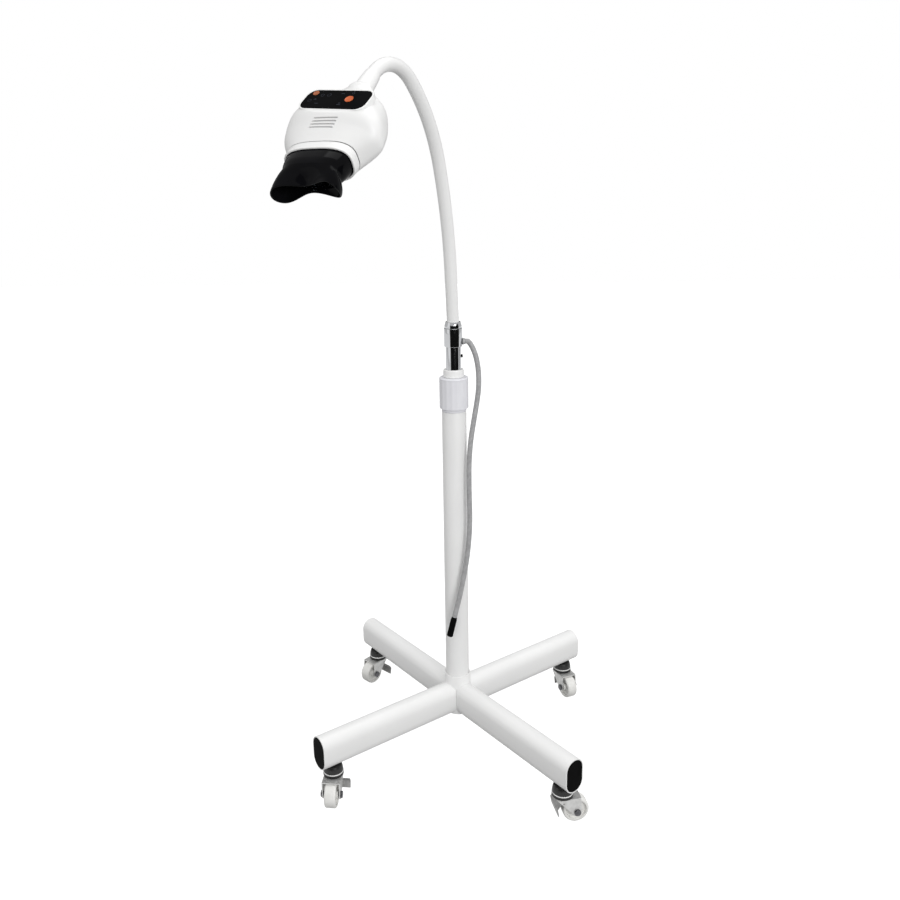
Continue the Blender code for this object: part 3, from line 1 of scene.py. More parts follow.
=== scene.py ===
# %% [markdown]
# A teeth whitening lamp on a castor stand, dressed for a studio picture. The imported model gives
# every piece its place and its joint, and the cells below make the shown surfaces around it.
# Lengths are in metres, and those that repeat one of the model's mostly have a name.

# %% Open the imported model
import json
import math

import bmesh
import bpy
import numpy as np
from mathutils import Matrix, Vector

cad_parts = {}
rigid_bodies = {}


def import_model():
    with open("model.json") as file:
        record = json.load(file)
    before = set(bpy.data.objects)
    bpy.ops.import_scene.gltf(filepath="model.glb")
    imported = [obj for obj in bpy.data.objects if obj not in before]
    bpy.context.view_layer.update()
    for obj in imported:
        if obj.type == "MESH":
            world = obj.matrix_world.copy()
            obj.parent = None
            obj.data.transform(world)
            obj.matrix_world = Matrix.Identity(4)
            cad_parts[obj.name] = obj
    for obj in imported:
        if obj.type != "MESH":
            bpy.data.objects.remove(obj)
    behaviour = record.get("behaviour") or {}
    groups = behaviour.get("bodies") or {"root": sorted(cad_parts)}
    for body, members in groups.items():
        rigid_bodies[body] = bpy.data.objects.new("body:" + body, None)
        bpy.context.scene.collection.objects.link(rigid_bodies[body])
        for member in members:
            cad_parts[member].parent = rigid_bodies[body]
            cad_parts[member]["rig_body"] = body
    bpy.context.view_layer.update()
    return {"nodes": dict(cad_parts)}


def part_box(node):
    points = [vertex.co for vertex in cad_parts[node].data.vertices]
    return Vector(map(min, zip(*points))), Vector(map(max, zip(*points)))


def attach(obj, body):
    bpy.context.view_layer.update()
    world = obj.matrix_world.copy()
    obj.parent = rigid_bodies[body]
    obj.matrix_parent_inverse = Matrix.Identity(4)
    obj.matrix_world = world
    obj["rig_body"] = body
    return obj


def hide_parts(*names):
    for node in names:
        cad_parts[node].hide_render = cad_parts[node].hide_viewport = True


for old in list(bpy.data.objects):
    bpy.data.objects.remove(old)
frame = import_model()
column_low, column_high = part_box("column_tube")
AXIS = np.array(((column_low.x + column_high.x) / 2, (column_low.y + column_high.y) / 2, 0.0))
print(len(frame["nodes"]), "nodes; the column stands at", AXIS.round(4))

# %% [markdown]
# The camera stands a little above the head's height and looks slightly down, which is why the
# stand's feet spread out in the picture. Its lens is a wide one, and its frame is shifted
# sideways and down, so that upright lines stay nearly upright.

# %% Camera


def in_scene(name, data):
    """A new object that holds this data, linked to the scene."""
    thing = bpy.data.objects.new(name, data)
    bpy.context.scene.collection.objects.link(thing)
    return thing


def axes_at(x_way, y_way, z_way, origin):
    """A 4 by 4 matrix whose columns are three unit axes and an origin."""
    matrix = np.eye(4)
    matrix[:3] = np.stack([x_way, y_way, z_way, origin], axis=1)
    return Matrix(matrix.tolist())


PICTURE = 900
FRAME_SHIFT = 50 / PICTURE
LENS, SENSOR, CAMERA_ROLL = 34.96, 36, -0.0281
eye = np.array((0.1950, -1.6271, 1.1381)) + AXIS
ahead = np.array((-0.1766, 0.9558, -0.2349))
ahead /= np.linalg.norm(ahead)
level = np.array((0.98335, 0.18169, 0.0))
level /= np.linalg.norm(level)
overhead = np.cross(level, ahead)
side = math.cos(CAMERA_ROLL) * level + math.sin(CAMERA_ROLL) * overhead
top = math.cos(CAMERA_ROLL) * overhead - math.sin(CAMERA_ROLL) * level
lens = bpy.data.cameras.new("camera")
lens.lens, lens.sensor_width = LENS, SENSOR
lens.shift_x, lens.shift_y = FRAME_SHIFT, -FRAME_SHIFT
camera = in_scene("camera", lens)
camera.matrix_world = axes_at(side, top, -ahead, eye)
bpy.context.scene.camera = camera
print("camera at", eye.round(3))

# %% [markdown]
# Every new surface is a grid of points worked out as one array. These helpers turn such arrays
# into meshes. A closed shape has its signed volume checked, and its faces are turned round if
# they look inwards, so no normal depends on the order in which the points were written.

# %% Arrays to meshes
MERGE, TINY = 1e-6, 1e-12
QUARTER = math.pi / 2


def mesh_of(name, points, faces):
    """A mesh from an array of points and an array of faces with equal corner counts."""
    mesh = bpy.data.meshes.new(name)
    mesh.vertices.add(len(points))
    mesh.vertices.foreach_set("co", np.asarray(points, np.float32).ravel())
    mesh.loops.add(faces.size)
    mesh.loops.foreach_set("vertex_index", np.asarray(faces, np.int32).ravel())
    mesh.polygons.add(len(faces))
    starts = np.arange(0, faces.size, faces.shape[1], dtype=np.int32)
    mesh.polygons.foreach_set("loop_start", starts)
    mesh.update(calc_edges=True)
    return mesh


def grid_faces(rows, columns, closed_rows, closed_columns=True):
    """Quads between neighbouring rows and columns of a grid, wrapping where it is closed."""
    i = np.arange(rows if closed_rows else rows - 1)[:, None]
    j = np.arange(columns if closed_columns else columns - 1)[None, :]
    up, across = (i + 1) % rows, (j + 1) % columns
    corners = (i * columns + j, i * columns + across, up * columns + across, up * columns + j)
    return np.stack([c.ravel() for c in np.broadcast_arrays(*corners)], axis=1)


def tidied(mesh, limit=math.radians(32)):
    """Poles and seams merged, faces looking outwards, smooth but for edges sharper than the limit."""
    shape = bmesh.new()
    shape.from_mesh(mesh)
    bmesh.ops.remove_doubles(shape, verts=shape.verts, dist=MERGE)
    bmesh.ops.dissolve_degenerate(shape, edges=shape.edges, dist=MERGE)
    if shape.calc_volume(signed=True) < 0:
        bmesh.ops.reverse_faces(shape, faces=shape.faces)
    shape.to_mesh(mesh)
    shape.free()
    mesh.shade_smooth()
    mesh.set_sharp_from_angle(angle=limit)
    return mesh


def placed(points, matrix):
    """Points carried by a 4 by 4 matrix."""
    array = np.array(matrix)
    return points @ array[:3, :3].T + array[:3, 3]


def grid_mesh(name, grid, matrix=Matrix.Identity(4), closed_rows=True, closed_columns=True):
    """A mesh from a grid of points carried by a matrix."""
    faces = grid_faces(*grid.shape[:2], closed_rows, closed_columns)
    return mesh_of(name, placed(grid.reshape(-1, 3), matrix), faces)


def new_piece(name, mesh, body, material, stands_for=()):
    """A shown piece that rides on a body and takes its finish from a slot of the record."""
    piece = in_scene(name, mesh)
    mesh.materials.clear()
    mesh.materials.append(material)
    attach(piece, body)
    if stands_for:
        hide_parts(*stands_for)
    return piece


def shift(x=0.0, y=0.0, z=0.0):
    return Matrix.Translation((x, y, z))


def turn(angle, axis):
    return Matrix.Rotation(angle, 4, axis)


def smoothstep(value):
    """0 below 0, 1 above 1, and 3t^2 - 2t^3 between."""
    t = np.clip(value, 0, 1)
    return t * t * (3 - 2 * t)


def round_turns(count):
    """Equal angles round a full turn."""
    return np.arange(count) * 2 * math.pi / count


def at_height(x, y, height):
    """Points (x, y, height), one to a row."""
    return np.stack([x, y, np.full(len(x), height)], axis=1)


print("helpers ready")

# %% [markdown]
# A turned piece is a closed outline of radius and height, carried round an axis. A lathe or a
# mould never leaves a true corner, so each corner of the outline is first replaced by a short
# curve. It is that small radius which catches the light along every edge.

# %% Turned pieces
AROUND = 96
CORNER_STEPS, CORNER_SHARE = 4, 0.45


def eased(outline, radius):
    """Each corner, but for those on the axis, replaced by the curve (1-t)^2 a + 2t(1-t) b + t^2 c."""
    points = np.array(outline, float)
    before, after = np.roll(points, 1, axis=0), np.roll(points, -1, axis=0)
    into, out = before - points, after - points
    into_length = np.linalg.norm(into, axis=1, keepdims=True)
    out_length = np.linalg.norm(out, axis=1, keepdims=True)
    start = points + into * np.minimum(radius / into_length, CORNER_SHARE)
    end = points + out * np.minimum(radius / out_length, CORNER_SHARE)
    t = np.linspace(0, 1, CORNER_STEPS)[None, :, None]
    curve = (1 - t) ** 2 * start[:, None] + 2 * t * (1 - t) * points[:, None] + t**2 * end[:, None]
    keep = (points[:, 0] < MERGE)[:, None, None]
    curve = np.where(keep, points[:, None], curve)
    return curve.reshape(-1, points.shape[1])


def turned_piece(name, outline, place, easing, body, material, node=None,
                 around=AROUND, ripple=None):
    """A piece from a closed (radius, height) outline carried round Z: x = r cos a, y = r sin a."""
    profile = eased(outline, easing)
    angle = round_turns(around)
    radius = np.repeat(profile[:, :1], around, axis=1)
    if ripple is not None:
        radius = radius - ripple(profile[:, :1], profile[:, 1:2], angle[None, :])
    points = np.stack([radius * np.cos(angle), radius * np.sin(angle),
                       np.repeat(profile[:, 1:2], around, axis=1)], axis=-1)
    mesh = tidied(grid_mesh(name, points, place))
    return new_piece(name, mesh, body, material, (node,) if node else ())


on_column = shift(*AXIS)
print("turned pieces have", AROUND, "sides")

# %% [markdown]
# A sheet-metal or sawn piece keeps the model's own outline. Its loose triangles are copied,
# merged and dissolved back into flat faces, and most get a Bevel, the small radius that a press
# or a file leaves. This suits the arms, the castor forks and the brake plates.

# %% Pieces that keep the model's outline
FLAT_ANGLE = math.radians(0.6)
SHARP_ANGLE = math.radians(35)


def kept_shape(node, material, bevel=0.0, segments=2):
    """A merged copy of a node's mesh, with an optional bevel along its sharp edges."""
    source = frame["nodes"][node]
    mesh = source.data.copy()
    shape = bmesh.new()
    shape.from_mesh(mesh)
    bmesh.ops.remove_doubles(shape, verts=shape.verts, dist=5 * MERGE)
    bmesh.ops.dissolve_limit(shape, angle_limit=FLAT_ANGLE, verts=shape.verts, edges=shape.edges)
    shape.to_mesh(mesh)
    shape.free()
    mesh.shade_smooth()
    mesh.set_sharp_from_angle(angle=SHARP_ANGLE)
    piece = new_piece(f"{node}_skin", mesh, source["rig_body"], material, (node,))
    if bevel:
        rounding = piece.modifiers.new("edge", "BEVEL")
        rounding.width, rounding.segments = bevel, segments
        rounding.limit_method, rounding.angle_limit = "ANGLE", SHARP_ANGLE
        rounding.harden_normals = True


print("sheet pieces keep the model's outline")

# %% [markdown]
# Paint, plastic and plating are never quite even. Three small node groups give that unevenness:
# one mottles a colour, one varies the gloss and raises a fine grain, and one draws streaks along
# a direction, as plated sheet has. Each reads Object coordinates, so nothing slides in a pose.

# %% Node groups that the finishes share
GLOSS_AND_HEIGHT = (("Roughness", "NodeSocketFloat"), ("Height", "NodeSocketFloat"))


def new_group(name, inputs, outputs):
    """A node group with named sockets; returns the tree and its input and output nodes."""
    group = bpy.data.node_groups.new(name, "ShaderNodeTree")
    for label, kind, value in inputs:
        socket = group.interface.new_socket(label, in_out="INPUT", socket_type=kind)
        socket.default_value = value
    for label, kind in outputs:
        group.interface.new_socket(label, in_out="OUTPUT", socket_type=kind)
    return group, group.nodes.new("NodeGroupInput"), group.nodes.new("NodeGroupOutput")


def with_inputs(node, **values):
    """The node with its named inputs set, where an underscore stands for a space."""
    for label, value in values.items():
        node.inputs[label.replace("_", " ")].default_value = value
    return node


def add(tree, kind, **values):
    """A new shader node of a kind, with its named inputs set."""
    return with_inputs(tree.nodes.new(f"ShaderNode{kind}"), **values)


def wire(tree, *links):
    """Joins an output of one node to an input of another for each (node, output, node, input)."""
    for source, output, target, socket in links:
        tree.links.new(source.outputs[output], target.inputs[socket])


def gloss_from(tree, noise, given, made):
    """Puts out a roughness that goes from Smooth to Rough as a noise goes from 0.3 to 0.7."""
    gloss = add(tree, "MapRange", From_Min=0.3, From_Max=0.7)
    wire(tree, (noise, "Fac", gloss, "Value"), (given, "Smooth", gloss, "To Min"),
         (given, "Rough", gloss, "To Max"), (gloss, "Result", made, "Roughness"))


def mottle_group():
    """Mixes two near colours by a soft noise, wholly one below 0.35 and the other above 0.65."""
    sockets = (("Light", "NodeSocketColor", (1, 1, 1, 1)), ("Dark", "NodeSocketColor", (0, 0, 0, 1)),
               ("Patch Scale", "NodeSocketFloat", 20.0))
    tree, given, made = new_group("mottle", sockets, (("Color", "NodeSocketColor"),))
    place, noise = add(tree, "TexCoord"), add(tree, "TexNoise", Detail=3.0)
    patches, blend = add(tree, "MapRange", From_Min=0.35, From_Max=0.65), add(tree, "Mix")
    blend.data_type = "RGBA"
    wire(tree, (place, "Object", noise, "Vector"), (given, "Patch Scale", noise, "Scale"),
         (noise, "Fac", patches, "Value"), (patches, "Result", blend, "Factor"),
         (given, "Light", blend, "A"), (given, "Dark", blend, "B"), (blend, "Result", made, "Color"))
    return tree


def grain_group():
    """Roughness between two values by a broad noise, and a height from a fine one."""
    sockets = (("Grain Scale", "NodeSocketFloat", 900.0), ("Cloud Scale", "NodeSocketFloat", 14.0),
               ("Smooth", "NodeSocketFloat", 0.3), ("Rough", "NodeSocketFloat", 0.4))
    tree, given, made = new_group("grain", sockets, GLOSS_AND_HEIGHT)
    place, clouds = add(tree, "TexCoord"), add(tree, "TexNoise", Detail=4.0)
    grains = add(tree, "TexNoise", Detail=2.0)
    wire(tree, (place, "Object", clouds, "Vector"), (given, "Cloud Scale", clouds, "Scale"),
         (place, "Object", grains, "Vector"), (given, "Grain Scale", grains, "Scale"),
         (grains, "Fac", made, "Height"))
    gloss_from(tree, clouds, given, made)
    return tree


def streak_group():
    """A noise stretched along one axis, as rolling or drawing leaves on metal."""
    sockets = (("Stretch", "NodeSocketVector", (1.0, 1.0, 0.05)), ("Scale", "NodeSocketFloat", 700.0),
               ("Smooth", "NodeSocketFloat", 0.2), ("Rough", "NodeSocketFloat", 0.4))
    tree, given, made = new_group("streaks", sockets, GLOSS_AND_HEIGHT)
    place, noise = add(tree, "TexCoord"), add(tree, "TexNoise", Detail=3.0)
    stretch = add(tree, "VectorMath")
    stretch.operation = "MULTIPLY"
    wire(tree, (place, "Object", stretch, 0), (given, "Stretch", stretch, 1),
         (stretch, "Vector", noise, "Vector"), (given, "Scale", noise, "Scale"),
         (noise, "Fac", made, "Height"))
    gloss_from(tree, noise, given, made)
    return tree


mottle, grain, streaks = mottle_group(), grain_group(), streak_group()
print("groups:", mottle.name, grain.name, streaks.name)

# %% [markdown]
# The finishes differ in few numbers: two near colours, how even the gloss is, how deep the grain
# stands, whether it is metal and how much it mirrors. One function takes those and wires the
# groups into a Principled shader, whose constant values are set on the shader itself.

# %% Finishes
GRAIN_STRENGTH = 0.6


def finish(name, light, dark, smooth, rough, patch=20.0, grain_scale=900.0, depth=0.00002,
           metallic=0.0, drawn=None, shine=0.5):
    """A Principled material with a mottled colour, uneven gloss and a fine raised grain."""
    material = bpy.data.materials.new(name)
    material.use_nodes = True
    tree = material.node_tree
    shader = with_inputs(tree.nodes["Principled BSDF"], Metallic=metallic, Specular_IOR_Level=shine)
    colour, surface = add(tree, "Group"), add(tree, "Group")
    colour.node_tree = mottle
    with_inputs(colour, Light=(*light, 1), Dark=(*dark, 1), Patch_Scale=patch)
    surface.node_tree = streaks if drawn else grain
    with_inputs(surface, Smooth=smooth, Rough=rough)
    if drawn:
        with_inputs(surface, Stretch=drawn, Scale=grain_scale)
    else:
        with_inputs(surface, Grain_Scale=grain_scale)
    bump = add(tree, "Bump", Strength=GRAIN_STRENGTH, Distance=depth)
    wire(tree, (colour, "Color", shader, "Base Color"), (surface, "Roughness", shader, "Roughness"),
         (surface, "Height", bump, "Height"), (bump, "Normal", shader, "Normal"))
    return material


paint = finish("white_paint", (0.86, 0.86, 0.855), (0.84, 0.84, 0.835), 0.30, 0.38, 9.0, 650.0, 0.00001)
moulding = finish("white_moulding", (0.87, 0.87, 0.865), (0.855, 0.855, 0.85), 0.30, 0.38, 12.0,
                  1100.0, 0.000012, shine=0.35)
collar_white = finish("collar_moulding", (0.80, 0.80, 0.835), (0.77, 0.77, 0.81), 0.32, 0.42, 30.0,
                      1500.0)
gloss_black = finish("gloss_black", (0.0025, 0.0025, 0.003), (0.004, 0.004, 0.005), 0.10, 0.16, 25.0,
                     1200.0, 0.000012, shine=0.08)
panel_black = finish("panel_black", (0.002, 0.002, 0.0025), (0.004, 0.004, 0.0045), 0.10, 0.15, 25.0,
                     1200.0, 0.00001, shine=0.012)
satin_black = finish("satin_black", (0.003, 0.003, 0.003), (0.005, 0.005, 0.005), 0.34, 0.46, 60.0,
                     1800.0, 0.00003, shine=0.012)
chrome = finish("chrome_plate", (0.80, 0.81, 0.83), (0.76, 0.77, 0.79), 0.03, 0.08, 15.0, 500.0,
                0.000003, metallic=1.0)
zinc = finish("zinc_plate", (0.78, 0.78, 0.77), (0.66, 0.66, 0.65), 0.28, 0.45, 120.0, 900.0, 0.00001,
              metallic=0.7, drawn=(1.0, 1.0, 0.12))
dark_zinc = finish("dark_zinc", (0.20, 0.20, 0.21), (0.13, 0.13, 0.14), 0.28, 0.45, 140.0, 900.0,
                   0.00001, metallic=1.0, drawn=(0.15, 1.0, 1.0))
aluminium = finish("extruded_aluminium", (0.70, 0.71, 0.73), (0.62, 0.63, 0.65), 0.28, 0.42, 60.0,
                   900.0, 0.00001, metallic=1.0, drawn=(1.0, 0.05, 1.0))
# The castor rings' near-white colour is plated zinc with a painted highlight: it stands for the bright line
# of light along their edge.
zinc_and_highlight = finish("zinc_and_highlight", (0.88, 0.88, 0.87), (0.80, 0.80, 0.79), 0.25, 0.35, 120.0, 900.0,
                     0.000005, metallic=0.25)
brake_zinc = finish("brake_zinc", (0.46, 0.46, 0.455), (0.34, 0.34, 0.335), 0.30, 0.45, 140.0, 900.0,
                    0.00001, metallic=0.6, drawn=(0.15, 1.0, 1.0))
dome_black = finish("dome_black", (0.012, 0.012, 0.012), (0.02, 0.02, 0.02), 0.22, 0.34, 60.0, 1500.0)
nylon = finish("wheel_nylon", (0.84, 0.835, 0.81), (0.77, 0.765, 0.74), 0.40, 0.55, 90.0, 1500.0, 0.00004)
hose_grey = finish("hose_grey", (0.40, 0.40, 0.405), (0.32, 0.32, 0.325), 0.38, 0.50, 160.0, 1400.0,
                   0.00006)
orange = finish("button_orange", (0.62, 0.13, 0.035), (0.50, 0.09, 0.02), 0.24, 0.34, 150.0, 1600.0,
                0.00002, shine=0.3)
dull_orange = finish("button_dull_orange", (0.42, 0.13, 0.05), (0.34, 0.10, 0.04), 0.30, 0.42, 150.0,
                     1600.0, 0.00002, shine=0.3)
board_green = finish("board_green", (0.03, 0.20, 0.08), (0.02, 0.15, 0.06), 0.40, 0.55, 300.0)
board_white = finish("board_white", (0.78, 0.78, 0.76), (0.72, 0.72, 0.70), 0.45, 0.6, 200.0)
mark_grey = finish("panel_marks", (0.05, 0.055, 0.075), (0.035, 0.04, 0.055), 0.45, 0.55, 400.0,
                   shine=0.1)
clear = finish("clear_window", (0.80, 0.86, 0.92), (0.78, 0.84, 0.90), 0.03, 0.06, 20.0, 600.0, 0.000004)
with_inputs(clear.node_tree.nodes["Principled BSDF"], Transmission_Weight=0.9)
print(len(bpy.data.materials), "finishes")

# %% [markdown]
# The grey hose is the lamp's lead. It leaves the grommet straight, turns down under its own
# weight, swings past the column and ends in a black connector, all of which the photograph
# shows. Its route is a given list of points, and a Catmull-Rom curve smooths it.

# %% Hose
HOSE_RADIUS = 0.005
HOSE_STEP = 0.004
HOSE_HEIGHT = 0.854
SIDE_HEADING = math.radians(10.5)
SLEEVE_RADIUS = 0.0172
GROMMET_LENGTH = 0.005
GAP = 0.0003
hose_points = (
    (0.0340, 0.0063, 0.845), (0.0405, 0.0060, 0.830), (0.0450, 0.0045, 0.812), (0.0475, 0.0030, 0.790),
    (0.0475, 0.0010, 0.765), (0.0445, -0.0020, 0.738), (0.0390, -0.0085, 0.703), (0.0335, -0.0145, 0.665),
    (0.0305, -0.0195, 0.626), (0.0300, -0.0225, 0.587), (0.0305, -0.0240, 0.546), (0.0310, -0.0245, 0.505),
    (0.0290, -0.0265, 0.463), (0.0245, -0.0300, 0.422), (0.0175, -0.0340, 0.381), (0.0100, -0.0380, 0.344),
    (0.0004, -0.0412, 0.304))


def smooth_route(points, step):
    """A Catmull-Rom curve: each span is a cubic through its ends, with slopes from its neighbours."""
    points = np.array(points, float)
    ends = np.vstack([2 * points[0] - points[1], points, 2 * points[-1] - points[-2]])
    found = []
    for a, b, c, d in zip(ends, ends[1:], ends[2:], ends[3:]):
        count = max(1, round(float(np.linalg.norm(c - b)) / step))
        t = (np.arange(count) / count)[:, None]
        bend, twist = 2 * a - 5 * b + 4 * c - d, 3 * b - 3 * c + d - a
        found.append((2 * b + (c - a) * t + bend * t**2 + twist * t**3) / 2)
    return np.vstack([*found, points[-1:]])


outward = np.array((math.cos(SIDE_HEADING), math.sin(SIDE_HEADING), 0.0))
HOSE_START = SLEEVE_RADIUS + GROMMET_LENGTH + 2 * GAP
exit_points = [outward * reach + (0, 0, HOSE_HEIGHT) for reach in (HOSE_START, HOSE_START + HOSE_RADIUS)]
hose_line = smooth_route([*exit_points, *hose_points], HOSE_STEP) + AXIS
hose_curve = bpy.data.curves.new("hose_lead", "CURVE")
hose_curve.dimensions = "3D"
hose_curve.bevel_depth = HOSE_RADIUS
hose_curve.bevel_resolution = 6
hose_curve.use_fill_caps = True
spline = hose_curve.splines.new("POLY")
spline.points.add(len(hose_line) - 1)
spline.points.foreach_set("co", np.hstack([hose_line, np.ones((len(hose_line), 1))]).ravel())
spline.use_smooth = True
hose_curve.materials.append(hose_grey)
hose = in_scene("hose_lead", hose_curve)
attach(hose, "mast")
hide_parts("hose")

# %% [markdown]
# The connector is a turned black shell that tapers to a rounded tip. A moulded collar with
# grooves holds the hose, so that it bends there and doesn't pull out.

# %% Hose connector and grommet
PLUG_LENGTH, PLUG_RADIUS, PLUG_CHAMFER, GROOVE = 0.042, 0.0062, 0.0012, 0.0006
GROMMET_RADIUS, GROMMET_TAPER, GROMMET_BORE, GROMMET_ROOT = 0.0066, 0.0012, 0.0038, 0.0152
last, before = Vector(hose_points[-1]), Vector(hose_points[-2])
plug_way = (last - before).normalized()
plug_aim = Vector((0, 0, 1)).rotation_difference(-plug_way).to_matrix().to_4x4()
plug_place = on_column @ Matrix.Translation(last + plug_way * (PLUG_LENGTH + GAP)) @ plug_aim
plug_outline = [(0, PLUG_LENGTH), (HOSE_RADIUS, PLUG_LENGTH), (PLUG_RADIUS, PLUG_LENGTH - PLUG_RADIUS)]
for groove_at in (0.018, 0.014, 0.010):
    plug_outline += [(PLUG_RADIUS, groove_at + GROOVE), (PLUG_RADIUS - GROOVE, groove_at + GROOVE / 2),
                     (PLUG_RADIUS, groove_at)]
plug_outline += [(PLUG_RADIUS, PLUG_CHAMFER), (PLUG_RADIUS - PLUG_CHAMFER, 0), (0, 0)]
plug = turned_piece("hose_connector", plug_outline, plug_place, 0.0003, "mast", satin_black,
                    "hose_plug", 48)
grommet_place = on_column @ shift(0, 0, HOSE_HEIGHT) @ turn(SIDE_HEADING, "Z") @ turn(QUARTER, "Y")
grommet_face = SLEEVE_RADIUS + GAP
grommet_end = grommet_face + GROMMET_LENGTH
grommet_outline = ((0, grommet_end), (GROMMET_RADIUS - GROMMET_TAPER, grommet_end),
                   (GROMMET_RADIUS, grommet_face), (GROMMET_BORE, grommet_face),
                   (GROMMET_BORE, GROMMET_ROOT), (0, GROMMET_ROOT))
turned_piece("hose_grommet_ring", grommet_outline, grommet_place, 0.0005, "mast", hose_grey,
             "hose_grommet", 48)
print("connector at", np.round(plug_place.translation, 3))

# %% [markdown]
# The column is a plain painted tube in a socket. Above it a twist collar with shallow flutes
# clamps the mast, and a white bush closes the gap round it.

# %% Column, socket, bush and collar
COLUMN_RADIUS, COLUMN_BORE = 0.0237, 0.0222
column_foot, column_top = column_low.z, column_high.z
column_outline = ((COLUMN_RADIUS, column_top), (COLUMN_RADIUS, column_foot), (COLUMN_BORE, column_foot),
                  (COLUMN_BORE, column_top))
turned_piece("column_skin", column_outline, on_column, 0.0005, "stand", paint, "column_tube")
socket_low, socket_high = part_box("base_socket")
SOCKET_BORE, SOCKET_RADIUS, SOCKET_FLOOR = 0.0240, 0.0265, 0.005
socket_outline = ((0, socket_low.z + SOCKET_FLOOR), (SOCKET_BORE, socket_low.z + SOCKET_FLOOR),
                  (SOCKET_BORE, socket_high.z), (SOCKET_RADIUS, socket_high.z),
                  (SOCKET_RADIUS, socket_low.z), (0, socket_low.z))
turned_piece("socket_skin", socket_outline, on_column, 0.0009, "stand", paint, "base_socket")
bush_low, bush_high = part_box("column_bush")
collar_low, collar_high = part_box("height_collar")
BUSH_HEAD_RADIUS, BUSH_RADIUS, BUSH_BORE, BUSH_STEP = 0.0203, 0.0187, 0.01485, 0.0008
guide_radius = COLUMN_BORE - GAP
bush_outline = ((BUSH_HEAD_RADIUS - 2 * BUSH_STEP, bush_high.z),
                (BUSH_HEAD_RADIUS - BUSH_STEP, bush_high.z - 2 * BUSH_STEP),
                (BUSH_HEAD_RADIUS, collar_high.z + GAP + BUSH_STEP), (BUSH_RADIUS, collar_high.z + GAP),
                (BUSH_RADIUS, column_top), (guide_radius, column_top), (guide_radius, bush_low.z),
                (BUSH_BORE, bush_low.z), (BUSH_BORE, bush_high.z))
turned_piece("bush_skin", bush_outline, on_column, 0.0006, "stand", moulding,
             "column_bush")
COLLAR_RADIUS, COLLAR_BEVEL, COLLAR_FOOT = 0.028, 0.0018, 0.006
FLUTES, FLUTE_DEPTH = 16, 0.0006
collar_start = column_top + GAP + COLLAR_FOOT
flute_high = collar_high.z - 0.002


def flutes(radius, height, angle):
    """How far each point is drawn in: d (1 - |cos(n a / 2)|^4), full depth below the top's chamfer."""
    rib = np.abs(np.cos(angle * FLUTES / 2)) ** 4
    along = smoothstep((flute_high - height) / 0.004)
    return FLUTE_DEPTH * (1 - rib) * along * (radius > COLUMN_RADIUS + 0.002)


grip_rows = [(COLLAR_RADIUS, height) for height in np.linspace(collar_high.z - COLLAR_BEVEL - 0.001,
                                                                collar_start + 0.002, 28)]
collar_outline = [(COLLAR_RADIUS - COLLAR_BEVEL, collar_high.z),
                  (COLLAR_RADIUS, collar_high.z - COLLAR_BEVEL), *grip_rows,
                  (COLLAR_RADIUS, collar_start + 0.0004), (COLLAR_RADIUS - 0.0004, collar_start),
                  (COLUMN_RADIUS, collar_start), (COLUMN_RADIUS, column_top + GAP),
                  (BUSH_RADIUS + GAP, column_top + GAP), (BUSH_RADIUS + GAP, collar_high.z)]
turned_piece("collar_skin", collar_outline, on_column, 0.0004, "height_collar", collar_white,
             "height_collar", 192, flutes)
print("collar", FLUTES, "flutes; column", round(column_top - column_foot, 3), "m")

# %% [markdown]
# The mast is a chrome tube that slides in the column. A sleeve and a chamfered nut of the same
# chrome join it to the painted neck. Chrome shows only what stands round it, so its finish is
# nearly a mirror and the studio cards below give it its dark lines.

# %% Mast, sleeve and nut
mast_low, mast_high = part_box("mast_tube")
MAST_RADIUS, MAST_BORE = 0.01455, 0.01305
mast_outline = ((MAST_RADIUS, mast_high.z), (MAST_RADIUS, mast_low.z), (MAST_BORE, mast_low.z),
                (MAST_BORE, mast_high.z))
turned_piece("mast_skin", mast_outline, on_column, 0.0004, "mast", chrome, "mast_tube")
sleeve_low, sleeve_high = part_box("mast_sleeve")
NECK_BORE, NUT_RADIUS, NUT_TOP, NUT_EDGE = 0.0118, SLEEVE_RADIUS - 0.0008, 0.0142, 0.004
sleeve_step = mast_high.z + GAP
sleeve_outline = ((SLEEVE_RADIUS, sleeve_high.z), (SLEEVE_RADIUS, sleeve_low.z),
                  (MAST_RADIUS + GAP, sleeve_low.z), (MAST_RADIUS + GAP, sleeve_step),
                  (NECK_BORE, sleeve_step), (NECK_BORE, sleeve_high.z))
turned_piece("sleeve_skin", sleeve_outline, on_column, 0.0008, "mast", chrome, "mast_sleeve")
nut_low, nut_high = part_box("neck_nut")
nut_outline = ((NUT_TOP, nut_high.z), (NUT_RADIUS, nut_low.z + NUT_EDGE), (NUT_RADIUS, nut_low.z),
               (NECK_BORE, nut_low.z), (NECK_BORE, nut_high.z))
turned_piece("nut_skin", nut_outline, on_column, 0.0006, "mast", chrome, "neck_nut")
kept_shape("stop_screw", satin_black, 0.0003)
kept_shape("mast_guide", satin_black)
print("mast", round(mast_high.z - mast_low.z, 3), "m")

# %% [markdown]
# The neck is one bent tube: a straight foot, a short lean, then three bends that each turn
# tighter than the one before. The slope a changes evenly along each run, so the centre line is
# the running sum of (sin a, cos a), and the tube is a circle carried square to it.

